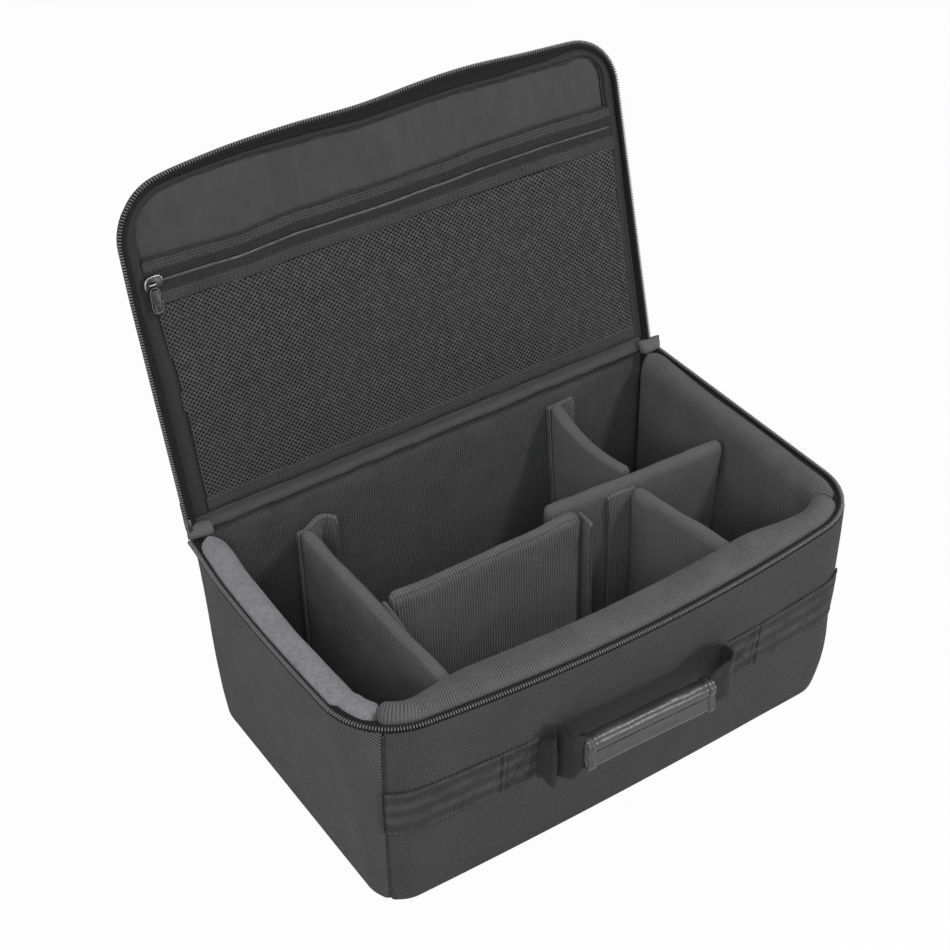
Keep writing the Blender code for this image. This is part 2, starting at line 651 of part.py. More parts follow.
def make_hinge_strip():
    """Fabric that joins the lid to the box: over the back wall, then up to the lid's lower edge."""
    thick = HINGE_STRIP_THICKNESS
    back = back_y(CASE_HEIGHT, PANEL_THICKNESS)
    lean = radians(LID_OPEN_DEG - 90)
    reach = LID_REAR_START - GAP * 2
    depth = LID_COVER_EDGE_DEPTH
    top_y = HINGE_Y + reach * sin(lean) + depth * cos(lean)
    top_z = HINGE_Z + reach * cos(lean) - depth * sin(lean)
    low = PANEL_HIGH + GAP
    path = [(back, low), (HINGE_STRIP_FOLD_Y, HINGE_STRIP_FOLD_Z), (top_y, top_z)]
    section = path + [(top_y + thick, top_z), (HINGE_STRIP_FOLD_Y + thick, HINGE_STRIP_FOLD_Z + thick),
                      (back, low + thick)]
    rings = [[(x, y, z) for y, z in section] for x in (-HINGE_STRIP_HALF_WIDTH, HINGE_STRIP_HALF_WIDTH)]
    loft("hinge_strip", rings, ("lining_fabric", LINING_COLOUR, 0.85), smooth=False)


# Webbing and handle


def make_bands():
    """Flat webbing sewn to the front, left and right of the handle."""
    finish = ("webbing", WEBBING_COLOUR, 0.85)
    corner = [("front_left", s) for s in steps(CORNER_STEPS, SEAM_SHARE + BAND_END_SHARE)]
    for name, end_x, side in (("band_left", BAND_LEFT_END_X, -1), ("band_right", BAND_RIGHT_END_X, 1)):
        rings = []
        heights = (BAND_LOW, BAND_LOW + BAND_HEIGHT)
        for part, share in corner:
            rings.append([band_point(part, share, z, depth, side) for z, depth in band_section(heights)])
        first_x = -case_point("front", 0.0, BAND_LOW, 0.0)[0]
        for share in steps(5, BAND_START_SHARE):
            x = mix(first_x, abs(end_x), share) * side
            rings.append([(x, front_y(x, z, -depth), z) for z, depth in band_section(heights)])
        loft(name, rings, finish, smooth=False)


def band_section(heights):
    """Corners of the webbing's section: height and distance out from the front panel."""
    low, high = heights
    near, far = SEWN_GAP, SEWN_GAP + BAND_THICKNESS
    return [(low, near), (high, near), (high, far), (low, far)]


def band_point(part, share, z, depth, side):
    """Point of the webbing on a front corner, mirrored for the right side."""
    x, y = case_point(part, share, z, -depth)
    return (-x if side > 0 else x), y, z


def grip_ring(x, height, thickness):
    """Rounded section of the grip at x."""
    ring = []
    for i in range(12):
        angle = 2 * pi * i / 12
        y = GRIP_Y + thickness / 2 * sin(angle)
        flat = abs(cos(angle)) ** GRIP_SECTION_POWER * (1 if cos(angle) >= 0 else -1)
        ring.append((x, y, GRIP_Z + height / 2 * flat))
    return ring


def make_handle(pull):
    """Grip sleeve on a webbing core, with a sewn band at each end."""
    length = GRIP_RIGHT_X - GRIP_LEFT_X
    stations = [GRIP_LEFT_X + length * s for s in GRIP_STATION_SHARES]
    outer = []
    for i, x in enumerate(stations):
        scale = GRIP_END_SCALE if i in (0, len(stations) - 1) else 1.0
        outer.append(grip_ring(x, GRIP_HEIGHT * scale, GRIP_THICKNESS * scale))
    bore_height = (CORE_HEIGHT + SLIDE_GAP * 2) * BORE_HEIGHT_SHARE
    bore_thickness = (CORE_THICKNESS + SLIDE_GAP * 2) * BORE_THICKNESS_SHARE
    bore = [grip_ring(x, bore_height, bore_thickness) for x in stations]
    sleeve("handle_grip", outer, bore, ("grip_leather", GRIP_COLOUR, 0.45), pull)
    half = CORE_HEIGHT / 2 * CORE_ENTRY_SHARE
    core_low = (GRIP_LEFT_X - CORE_OVERHANG, GRIP_Y - CORE_THICKNESS / 2, GRIP_Z - half)
    core_high = (GRIP_RIGHT_X + CORE_OVERHANG, GRIP_Y + CORE_THICKNESS / 2, GRIP_Z + half)
    block("handle_core", core_low, core_high, ("webbing", WEBBING_COLOUR, 0.85), pull)
    for name, first, last in (("grip_band_left", 0.0, 1.0), ("grip_band_right", 1.0, 0.0)):
        edge = mix(GRIP_RIGHT_X, GRIP_LEFT_X, last)
        inward = GRIP_BAND_LENGTH if last > first else -GRIP_BAND_LENGTH
        shell = []
        for grow in (GAP * 2 + GRIP_BAND_THICKNESS, GAP * 2):
            rings = []
            for share in (0.0, 1.0):
                x = edge + inward * share
                scale = mix(GRIP_END_SCALE, 1.0, share)
                rings.append(grip_ring(x, GRIP_HEIGHT * scale + 2 * grow, GRIP_THICKNESS * scale + 2 * grow))
            shell.append(rings)
        sleeve(name, shell[0], shell[1], ("grip_leather", GRIP_COLOUR, 0.45), pull)


def make_straps():
    """Loose webbing between the front and the grip: pleated at the left, a plain loop at the right."""
    clear = GAP + STRAP_THICKNESS / 4
    left_end = GRIP_LEFT_X - CORE_OVERHANG - clear
    right_end = GRIP_RIGHT_X + CORE_OVERHANG + clear
    low, high = GRIP_Z - STRAP_HEIGHT / 2, GRIP_Z + STRAP_HEIGHT / 2
    finish = ("webbing", WEBBING_COLOUR, 0.85)
    for name, start, lap, end, shares in (
            ("handle_strap_left", BAND_LEFT_END_X, -STRAP_LAP, left_end, PLEAT_SHARES),
            ("handle_strap_right", BAND_RIGHT_END_X, STRAP_LAP, right_end, LOOP_SHARES)):
        def path(z, start=start, lap=lap, end=end, shares=shares):
            places = [(start + lap, 0.0), (start + lap / 2, 0.0)]
            places += [(mix(start, end, along), out) for along, out in shares]
            face = SEWN_GAP * 2 + BAND_THICKNESS + STRAP_THICKNESS / 2
            return [(x, mix(front_y(x, z, -face), GRIP_Y, out)) for x, out in places]
        slab(name, path, STRAP_THICKNESS, low, high, finish)


# Dividers


def slab(name, path, thickness, low, high, finish, parent=None, end_drop=0.0, dip=0.0):
    """Upright sheet along a plan path that may change with height, with a rounded top."""
    half = thickness / 2
    middle = mix(low, high, 0.5)
    section = [(-half, low), (-half, middle)]
    for i in range(ROLL_STEPS + 1):
        angle = pi * i / ROLL_STEPS
        section.append((-half * cos(angle), high - half * (1 - sin(angle))))
    section += [(half, middle), (half, low)]
    spine = path(middle)
    rings = []
    for i, (x, y) in enumerate(spine):
        before = spine[max(i - 1, 0)]
        after = spine[min(i + 1, len(spine) - 1)]
        run = Vector((after[0] - before[0], after[1] - before[1]))
        side = Vector((run.y, -run.x)).normalized()
        share = i / (len(spine) - 1)
        sink = end_drop if i in (0, len(spine) - 1) else dip * sin(pi * share)
        ring = []
        for across, height in section:
            z = height - sink if height > middle else height
            place = Vector(path(z)[i]) + side * across
            ring.append((place.x, place.y, z))
        rings.append(ring)
    return loft(name, rings, finish, parent)


def straight(start, end, count=8):
    """Plan path between two points, closer together near its ends."""
    near, inner = DIVIDER_END_SHARES
    shares = [0.0, near] + steps(count - 2, inner, 1 - inner) + [1 - near, 1.0]
    return [(mix(start[0], end[0], s), mix(start[1], end[1], s)) for s in shares]


def wall_gap(thickness=0.0):
    """Inset of a divider's end from the box's outline, with a folded tab between if it has one."""
    return PAD_FACE_INSET + SLIDE_GAP + (thickness + GAP if thickness > 0 else 0.0)


def skew(across, along):
    """How far a slanted divider's corner reaches past the middle of its square end."""
    return DIVIDER_THICKNESS / 2 * abs(across / along)


def cross_right_y(x, z):
    """Y of the middle of the right-hand cross divider at x."""
    end = side_x(z, wall_gap())
    share = (x - CROSS_RIGHT_LEFT_X) / (end - CROSS_RIGHT_LEFT_X)
    return mix(CROSS_RIGHT_LEFT_Y, CROSS_RIGHT_RIGHT_Y, share)


def make_dividers():
    """Five padded dividers, each on its own pivot, with their folded hook tabs."""
    low = FLOOR_HIGH + GAP
    pad = ("divider_fabric", PAD_COLOUR, 0.95)
    light = ("divider_light_fabric", LIGHT_PAD_COLOUR, 0.95)
    half = DIVIDER_THICKNESS / 2
    face = SLIDE_GAP + TAB_THICKNESS / 2

    def divider(name, start, end, finish, dip=0.0):
        carrier = pivot(name + "_lift", (0.0, 0.0, 0.0))
        slab(name, lambda z: straight(start(z), end(z)), DIVIDER_THICKNESS, low, DIVIDER_TOP, finish,
             carrier, DIVIDER_END_DROP, dip)
        return carrier

    def tab(name, path, finish, carrier, thickness=TAB_THICKNESS):
        slab(name, path, thickness, TAB_LOW, TAB_TOP, finish, carrier, TAB_END_DROP)

    def liner_y(x, z):
        return max(front_y(x - half, z, wall_gap()), front_y(x + half, z, wall_gap()))

    carrier = divider("divider_long", lambda z: (LONG_X, liner_y(LONG_X, z)),
                      lambda z: (LONG_X, LONG_BACK_Y), pad)
    tab_y = LONG_BACK_Y + SLIDE_GAP + TAB_THICKNESS / 2
    curl = [(LONG_X - half, tab_y), (LONG_X, tab_y)]
    curl += [(LONG_X + half + LONG_TAB_REACH * along, tab_y + LONG_TAB_RISE * out)
             for along, out in LONG_TAB_CURL_SHARES]
    tab("divider_long_tab", lambda z: curl, light, carrier)

    tab_x = LONG_X + half + face
    start_x = tab_x + TAB_THICKNESS / 2 + GAP
    carrier = divider("divider_cross_left", lambda z: (start_x, CROSS_LEFT_Y),
                      lambda z: (CROSS_LEFT_RIGHT_X, CROSS_LEFT_Y), pad)
    tab("divider_cross_left_front_tab", lambda z: straight((tab_x, CROSS_LEFT_Y + half),
        (tab_x, CROSS_LEFT_Y - half - CROSS_LEFT_FRONT_TAB), 4), light, carrier)
    end_x = CROSS_LEFT_RIGHT_X + GAP + TAB_THICKNESS / 2
    tab("divider_cross_left_end_tab", lambda z: straight((end_x, CROSS_LEFT_Y + half),
        (end_x, CROSS_LEFT_Y + half - CROSS_LEFT_END_TAB), 4), light, carrier)

    slant = skew(CROSS_RIGHT_LEFT_Y - CROSS_RIGHT_RIGHT_Y, BASE_HALF_WIDTH - CROSS_RIGHT_LEFT_X)
    carrier = divider("divider_cross_right", lambda z: (CROSS_RIGHT_LEFT_X, CROSS_RIGHT_LEFT_Y),
                      lambda z: (side_x(z, wall_gap() + slant), CROSS_RIGHT_RIGHT_Y), pad)
    lap_y = CROSS_LEFT_Y + half + SLIDE_GAP + LAP_TAB_THICKNESS / 2
    tab("divider_cross_right_lap_tab", lambda z: straight((CROSS_RIGHT_LEFT_X, lap_y),
        (CROSS_LEFT_RIGHT_X - GAP, lap_y), 4), light, carrier, LAP_TAB_THICKNESS)

    def back_face(z, clear):
        return back_y(z, PAD_INSET + BACK_PAD_THICKNESS + SLIDE_GAP + clear)

    slant = skew(BACK_DIVIDER_BACK_X - BACK_DIVIDER_FRONT_X, BASE_BACK - BACK_PAD_THICKNESS)
    front_x = BACK_DIVIDER_FRONT_X
    carrier = divider("divider_back", lambda z: (front_x, cross_right_y(front_x, z) + half + face),
                      lambda z: (BACK_DIVIDER_BACK_X, back_face(z, TAB_THICKNESS + GAP + slant)), light,
                      BACK_DIVIDER_DIP)
    tab("divider_back_tab", lambda z: straight(
        (BACK_DIVIDER_BACK_X - half, back_face(z, TAB_THICKNESS / 2)),
        (BACK_DIVIDER_BACK_X - half + BACK_DIVIDER_TAB, back_face(z, TAB_THICKNESS / 2)), 4), light, carrier)

    def cross_front(x, z, clear):
        return cross_right_y(x, z) - half - SLIDE_GAP - clear

    slant = skew(FRONT_DIVIDER_FRONT_X - FRONT_DIVIDER_BACK_X, BASE_FRONT - WALL_PAD_THICKNESS)
    carrier = divider("divider_front",
                      lambda z: (FRONT_DIVIDER_BACK_X,
                                 cross_front(FRONT_DIVIDER_BACK_X, z, TAB_THICKNESS + SLIDE_GAP + slant)),
                      lambda z: (FRONT_DIVIDER_FRONT_X, liner_y(FRONT_DIVIDER_FRONT_X, z) + slant), pad)
    tab_right = FRONT_DIVIDER_BACK_X + half
    tab_left = tab_right - DIVIDER_THICKNESS - FRONT_DIVIDER_TAB
    tab("divider_front_tab", lambda z: straight(
        (tab_left, cross_front(tab_left, z, TAB_THICKNESS / 2)),
        (tab_right, cross_front(tab_right, z, TAB_THICKNESS / 2)), 4), light, carrier)


# Lid


def lid_strip(name, section, start, finish, lid):
    """Strip round the lid's three zipped sides; the section lists offsets and depths."""
    rings = []
    for part, share in u_stations():
        rings.append([(*lid_point(part, share, offset, start), depth) for offset, depth in section])
    loft(name, rings, finish, lid, smooth=False)


def bar_section(offset, width, depth, thickness):
    """Four corners of a flat strip's section."""
    return [(offset, depth), (offset + width, depth), (offset + width, depth + thickness),
            (offset, depth + thickness)]


def lid_ring(offset, start, depth):
    """Closed ring round the lid at a depth."""
    return [(*lid_point(part, share, offset, start), depth) for part, share in u_stations()]


def lid_edge(share):
    """Offset, rear start and depth of the lid's sloping edge at a share of its height."""
    run = sin(pi / 2 * share) ** LID_REAR_CURVE_POWER
    depth = mix(LID_COVER_EDGE_DEPTH, LID_THICKNESS, share)
    start = LID_REAR_START + LID_REAR_SLOPE_RUN * run
    return LID_COVER_EDGE_OFFSET + LID_COVER_EDGE_SLOPE_RUN * share, start, depth


def make_lid_body(lid):
    """Cover, foam, lining and binding."""
    rows = [lid_ring(*lid_edge(share)) for share in LID_EDGE_SHARES]
    offset, start, depth = lid_edge(1.0)
    rows.append(lid_ring(offset + LID_COVER_EDGE_OFFSET, start, depth))
    sheet("lid_cover", rows, LID_COVER_THICKNESS, ("shell_fabric", SHELL_COLOUR, 0.9), True, "last", lid)
    inner = LID_COVER_THICKNESS + GAP
    foam = []
    low_share = (LID_FOAM_DEPTH - LID_COVER_EDGE_DEPTH) / (LID_THICKNESS - LID_COVER_EDGE_DEPTH)
    high_share = 1 - (inner / (LID_THICKNESS - LID_COVER_EDGE_DEPTH))
    for share in (low_share, mix(low_share, high_share, 0.5), high_share):
        offset, start, depth = lid_edge(share)
        foam.append(lid_ring(offset + LID_FOAM_MARGIN, start + LID_FOAM_MARGIN, depth))
    loft("lid_foam", foam, ("foam", PAD_COLOUR, 0.95), lid, smooth=False)
    start = LID_REAR_START + LINING_REAR_INSET
    lining_offset = BINDING_OFFSET + LID_TAPE_THICKNESS
    lining = [lid_ring(lining_offset, start, z) for z in (LINING_DEPTH, LINING_DEPTH + LINING_THICKNESS)]
    loft("lid_lining", lining, ("lining_fabric", LINING_COLOUR, 0.85), lid, smooth=False)
    bead = BINDING_THICKNESS / 3
    section = [(BINDING_OFFSET, BINDING_DEPTH + bead), (BINDING_OFFSET + bead, BINDING_DEPTH),
               (BINDING_OFFSET + BINDING_WIDTH - bead, BINDING_DEPTH),
               (BINDING_OFFSET + BINDING_WIDTH, BINDING_DEPTH + bead),
               (BINDING_OFFSET + BINDING_WIDTH, BINDING_DEPTH + BINDING_THICKNESS),
               (BINDING_OFFSET, BINDING_DEPTH + BINDING_THICKNESS)]
    lid_strip("lid_binding", section, LID_REAR_START, ("binding_fabric", LINING_COLOUR, 0.85), lid)


def make_lid_zip(lid):
    """Tape and teeth round the lid."""
    black = ("zip_black", BLACK_COLOUR, 0.6)
    teeth = bar_section(0.0, TEETH_WIDTH, LID_TEETH_DEPTH, TEETH_HEIGHT)
    lid_strip("lid_zip_teeth", teeth, LID_TEETH_START, black, lid)
    near = TEETH_WIDTH + GAP
    far = BINDING_OFFSET - GAP
    thick = LID_TAPE_THICKNESS
    section = [(near, LID_TAPE_DEPTH), (far, BINDING_DEPTH), (far, BINDING_DEPTH + thick),
               (near, LID_TAPE_DEPTH + thick)]
    lid_strip("lid_zip_tape", section, LID_TAPE_START, black, lid)


def pocket_levels():
    """Heights above the hinge axis at which the pocket's strips start."""
    bottom_top = POCKET_BOTTOM_TAPE_LOW + POCKET_BOTTOM_TAPE_HEIGHT
    net_low = bottom_top + GAP
    lower = net_low + POCKET_NET_HEIGHT + GAP
    teeth = lower + POCKET_LOWER_TAPE_HEIGHT + GAP
    top = teeth + POCKET_TEETH_HEIGHT + GAP
    return {"net": net_low, "lower": lower, "teeth": teeth, "top": top}


def make_pocket(lid):
    """Net pocket in the lid with its own zip."""
    level = pocket_levels()
    depth, thick, half = POCKET_DEPTH, POCKET_TAPE_THICKNESS, POCKET_HALF_WIDTH
    tape = ("pocket_tape", WEBBING_COLOUR, 0.85)
    black = ("zip_black", BLACK_COLOUR, 0.6)

    def strip(name, low, height, finish):
        block(name, (-half, -low - height, depth), (half, -low, depth + thick), finish, lid)

    strip("pocket_bottom_tape", POCKET_BOTTOM_TAPE_LOW, POCKET_BOTTOM_TAPE_HEIGHT, tape)
    strip("pocket_lower_tape", level["lower"], POCKET_LOWER_TAPE_HEIGHT, tape)
    strip("pocket_zip_teeth", level["teeth"], POCKET_TEETH_HEIGHT, black)
    strip("pocket_top_tape", level["top"], POCKET_TOP_TAPE_HEIGHT, tape)
    make_net(lid, level["net"])
    back = depth + NET_THICKNESS + GAP
    rings = []
    for share, x in ((0.0, POCKET_DIVIDER_LOW_X), (1.0, POCKET_DIVIDER_TOP_X)):
        y = -(level["net"] + POCKET_NET_HEIGHT * share)
        side = POCKET_DIVIDER_WIDTH / 2
        rings.append([(x - side, y, back), (x + side, y, back), (x + side, y, depth + thick),
                      (x - side, y, depth + thick)])
    loft("pocket_divider_tape", rings, tape, lid, smooth=False)


def net_lines(low, high, cells):
    """Both edges of every strand across a span."""
    lines = []
    for i in range(cells + 1):
        middle = mix(low + NET_STRAND / 2, high - NET_STRAND / 2, i / cells)
        lines += [middle - NET_STRAND / 2, middle + NET_STRAND / 2]
    return lines


def make_net(lid, low):
    """Flat net: a grid of strands with its gaps left open."""
    xs = net_lines(-POCKET_HALF_WIDTH, POCKET_HALF_WIDTH, NET_COLUMNS)
    ys = net_lines(-low - POCKET_NET_HEIGHT, -low, NET_ROWS)
    bm = bmesh.new()
    grid = [[bm.verts.new((x, y, POCKET_DEPTH)) for x in xs] for y in ys]
    for j in range(len(ys) - 1):
        for i in range(len(xs) - 1):
            if i % 2 == 0 or j % 2 == 0:
                bm.faces.new((grid[j][i], grid[j + 1][i], grid[j + 1][i + 1], grid[j][i + 1]))
    mesh = bpy.data.meshes.new("pocket_net")
    bm.to_mesh(mesh)
    bm.free()
    net = add_object("pocket_net", mesh, ("net", BLACK_COLOUR, 0.8), lid)
    solid = net.modifiers.new("thickness", "SOLIDIFY")
    solid.thickness = NET_THICKNESS
    solid.offset = -1


def make_main_slider(lid):
    """Slider on the lid's left zip edge, open towards the lid's middle, with its puller."""
    metal = ("zip_metal", METAL_COLOUR, 0.35, 0.9)
    wall = SLIDER_WALL
    outer = -LID_HALF_WIDTH - GAP - wall
    near = LID_TEETH_DEPTH - GAP
    far = LID_TEETH_DEPTH + TEETH_HEIGHT + GAP
    lip = -LID_HALF_WIDTH + TEETH_WIDTH / 2
    section = [(outer, near - wall), (lip, near - wall), (lip, near), (outer + wall, near),
               (outer + wall, far), (lip, far), (lip, far + wall), (outer, far + wall)]
    carrier = pivot("zip_slider_slide", (0.0, -MAIN_SLIDER_START, 0.0), parent=lid)
    rings = [[(x, -share * SLIDER_LENGTH, z) for x, z in section] for share in (0.0, 1.0)]
    loft("zip_slider", rings, metal, carrier, smooth=False)
    hinge_depth = far + wall + GAP + MAIN_PULLER_THICKNESS / 2
    swing = pivot("zip_puller_swing", (0.0, -SLIDER_LENGTH / 2, hinge_depth), parent=carrier)
    half_thick = MAIN_PULLER_THICKNESS / 2
    low = (outer - MAIN_PULLER_WIDTH / 3, -MAIN_PULLER_LENGTH, -half_thick)
    high = (outer + MAIN_PULLER_WIDTH * 2 / 3, half_thick, half_thick)
    block("zip_puller", low, high, metal, swing, PULLER_EDGE_ROUND)


def make_pocket_slider(lid):
    """Slider on the pocket zip and its ring puller."""
    metal = ("zip_metal", METAL_COLOUR, 0.35, 0.9)
    level = pocket_levels()
    height = level["teeth"] + POCKET_TEETH_HEIGHT / 2
    carrier = pivot("pocket_slide", (POCKET_SLIDER_X, -height, 0.0), parent=lid)
    top = POCKET_DEPTH - GAP
    low = (-POCKET_SLIDER_LENGTH / 2, -POCKET_SLIDER_HEIGHT / 2, top - POCKET_SLIDER_THICKNESS)
    block("pocket_slider", low, (-low[0], -low[1], top), metal, carrier, PULLER_EDGE_ROUND)
    ring_z = top - POCKET_SLIDER_THICKNESS - GAP - POCKET_PULLER_THICKNESS / 2
    swing = pivot("pocket_puller_swing", (0.0, 0.0, ring_z), parent=carrier)
    width, length = POCKET_PULLER_WIDTH, POCKET_PULLER_LENGTH
    half_thick = POCKET_PULLER_THICKNESS / 2
    outer, inner = [], []
    hole = POCKET_PULLER_HOLE_SHARE
    middle = length / 2 - width / 2
    for i in range(16):
        angle = 2 * pi * (i + 0.5) / 16
        x = width / 2 * max(-1, min(1, POCKET_PULLER_SIDE_SHARE * cos(angle)))
        y = length / 2 * (1 + sin(angle)) - width / 2
        outer.append((x, y))
        inner.append((x * hole, middle + (y - middle) * mix(hole, 1, POCKET_PULLER_HOLE_LENGTH_SHARE)))
    rings = [[[(x, y, z) for x, y in loop] for z in (-half_thick, half_thick)] for loop in (outer, inner)]
    sleeve("pocket_puller", rings[0], rings[1], metal, swing)


def clear_scene():
    """Start from an empty scene with the insert's own collection."""
    for obj in list(bpy.data.objects):
        bpy.data.objects.remove(obj, do_unlink=True)
    collection = bpy.data.collections.new("camera_bag_insert")
    bpy.context.scene.collection.children.link(collection)


def main():
    clear_scene()
    make_panels()
    make_floor()
    make_wall_pads()
    make_back_pad()
    make_case_zip()
    make_zip_tabs()
    make_hinge_strip()
    make_bands()
    make_handle(pivot("handle_pull", (0.0, 0.0, 0.0)))
    make_straps()
    make_dividers()
    lid = pivot("lid_hinge", (0.0, HINGE_Y, HINGE_Z), (-radians(LID_OPEN_DEG), 0.0, 0.0))
    make_lid_body(lid)
    make_lid_zip(lid)
    make_pocket(lid)
    make_main_slider(lid)
    make_pocket_slider(lid)


main()
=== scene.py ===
"""Looks of the camera bag insert: fabric, webbing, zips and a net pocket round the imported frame.

Lengths are in metres. The lid's pieces are placed by lid_place: x, the distance a up from the
hinge axis along the lid, and the depth b behind the plane of its zip.
"""

import json
from math import atan2, cos, pi, radians, sin, sqrt

import bmesh
import bpy
from mathutils import Matrix, Vector, noise

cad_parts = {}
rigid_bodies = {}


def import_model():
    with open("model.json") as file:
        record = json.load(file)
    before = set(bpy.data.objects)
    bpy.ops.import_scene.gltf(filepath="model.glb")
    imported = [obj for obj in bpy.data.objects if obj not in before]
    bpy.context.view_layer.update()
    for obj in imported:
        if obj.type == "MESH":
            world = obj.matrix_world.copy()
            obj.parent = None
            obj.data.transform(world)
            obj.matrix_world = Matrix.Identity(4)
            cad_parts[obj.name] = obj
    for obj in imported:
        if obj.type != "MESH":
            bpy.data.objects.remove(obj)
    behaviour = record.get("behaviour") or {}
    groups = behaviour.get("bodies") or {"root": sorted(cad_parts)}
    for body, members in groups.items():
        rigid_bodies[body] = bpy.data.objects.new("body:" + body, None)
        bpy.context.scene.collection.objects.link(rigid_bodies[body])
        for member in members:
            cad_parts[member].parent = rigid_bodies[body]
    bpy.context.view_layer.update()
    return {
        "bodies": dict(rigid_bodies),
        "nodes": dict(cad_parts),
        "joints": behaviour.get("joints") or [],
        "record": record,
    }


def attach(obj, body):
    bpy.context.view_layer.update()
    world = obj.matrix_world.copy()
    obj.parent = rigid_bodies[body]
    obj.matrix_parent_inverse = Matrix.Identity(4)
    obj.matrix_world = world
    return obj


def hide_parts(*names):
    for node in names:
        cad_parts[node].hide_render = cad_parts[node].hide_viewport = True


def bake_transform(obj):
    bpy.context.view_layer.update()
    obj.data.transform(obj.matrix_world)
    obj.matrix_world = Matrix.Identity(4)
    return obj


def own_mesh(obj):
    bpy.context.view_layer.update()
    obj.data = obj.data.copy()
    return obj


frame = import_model()

# Sizes that the looks share with the solids
CASE_HEIGHT = 0.160
BASE_HALF_WIDTH, RIM_HALF_WIDTH = 0.177, 0.190
BASE_DEPTH, RIM_DEPTH = 0.113, 0.125
BASE_BULGE, RIM_BULGE = 0.0025, 0.0105
BASE_RADIUS, RIM_FRONT_RADIUS, RIM_BACK_RADIUS = 0.024, 0.046, 0.034
CORNER_POWER = 2
EDGE_ROUND = 0.005
SEAM = 0.52
HINGE_Y, HINGE_Z = 0.099, 0.161
LID_ANGLE = radians(104)
LID_HALF, LID_LENGTH, LID_BULGE, LID_RADIUS = 0.1853, 0.2305, 0.005, 0.037
LID_START = 0.0095
PAD_INSET, PAD_WIDE, BACK_WIDE = 0.0021, 0.022, 0.020
PAD_LOW, PAD_TOP, BACK_TOP = 0.0046, 0.163, 0.1582
GRIP_Y, GRIP_Z = -0.149, 0.1003
GRIP_LEFT, GRIP_RIGHT = -0.058, 0.040
BAND_LOW, BAND_HIGH = 0.070, 0.107
RIB_PITCH, RIB_MIDDLE = 0.0125, 0.0827
STRAP_LEFT, STRAP_RIGHT = -0.0738, 0.0670
POCKET_HALF = 0.168

# How the lid's free edge wavers: place, reach and height of each swell
LID_SLACK = ((-0.100, 0.060, 0.0012), (-0.010, 0.050, -0.0018), (0.070, 0.055, 0.0015))

# Width of the lid's frame from its outline to the inner edge of the binding, and to its outer edge
FRAME_LEFT = ((0.0, 0.0190, 0.0062), (0.10, 0.0190, 0.0062), (0.155, 0.0160, 0.0048), (0.195, 0.0124, 0.0045))
FRAME_TOP = ((-0.150, 0.0096, 0.0050), (-0.125, 0.0098, 0.0060), (-0.097, 0.0110, 0.0068), (-0.050, 0.0128, 0.0080),
             (0.005, 0.0142, 0.0092), (0.045, 0.0148, 0.0106), (0.085, 0.0150, 0.0108), (0.127, 0.0136, 0.0080),
             (0.155, 0.0132, 0.0050))
FRAME_RIGHT = ((0.0, 0.0140, 0.0052), (0.10, 0.0137, 0.0048), (0.155, 0.0106, 0.0034), (0.195, 0.0112, 0.0036))

# Rise and fall of the pocket's zip: place and height
POCKET_WAVE = ((-0.172, 0.0011), (-0.150, 0.0006), (-0.110, -0.0017), (-0.088, -0.0006), (-0.068, 0.0003),
               (-0.040, -0.0004), (0.0, -0.0010), (0.040, -0.0003), (0.075, 0.0010), (0.120, 0.0008), (0.175, -0.0010))


def mix(a, b, t):
    return a + (b - a) * t


def steps(count, first=0.0, last=1.0):
    return [mix(first, last, i / count) for i in range(count + 1)]


def clamp(x, low=0.0, high=1.0):
    return max(low, min(high, x))


def smooth(x, low=0.0, high=1.0):
    t = clamp((x - low) / (high - low))
    return t * t * (3 - 2 * t)


def read(table, x, column=1):
    """Value of a table at x, with smooth steps between its rows."""
    if x <= table[0][0]:
        return table[0][column]
    for low, high in zip(table, table[1:]):
        if x <= high[0]:
            return mix(low[column], high[column], smooth(x, low[0], high[0]))
    return table[-1][column]


def spline(p0, p1, p2, p3, f):
    """Point from p1 to p2 on the smooth curve through four points."""
    return 0.5 * (2 * p1 + (p2 - p0) * f + (2 * p0 - 5 * p1 + 4 * p2 - p3) * f * f
                  + (3 * p1 - p0 - 3 * p2 + p3) * f ** 3)


def distances(points):
    """How far along a line each of its points lies."""
    run = [0.0]
    for a, b in zip(points, points[1:]):
        run.append(run[-1] + (b - a).length)
    return run


def rough(x, y, z, size, seed=0.0):
    """Smooth noise from -1 to 1 with lumps about size across."""
    return noise.noise(Vector((x / size + seed, y / size - seed, z / size + seed * 2)))


# Outlines, as in the solids


def u_point(half, reach, bulge, radius, part, share, back):
    straight = half - radius
    turn = atan2(straight, 2 * bulge)
    centre_y = -reach + radius * sin(turn)
    span = straight + radius * cos(turn)
    if part == "front":
        x = mix(-span, span, share)
        return x, -reach - bulge * (1 - (x / span) ** 2)
    if part == "left":
        return -half, mix(back, centre_y, share)
    if part == "right":
        return half, mix(centre_y, back, share)
    angle = turn * (share if part == "front_left" else 1 - share)
    x = straight + radius * cos(angle)
    y = centre_y - radius * sin(angle)
    return (-x, y) if part == "front_left" else (x, y)


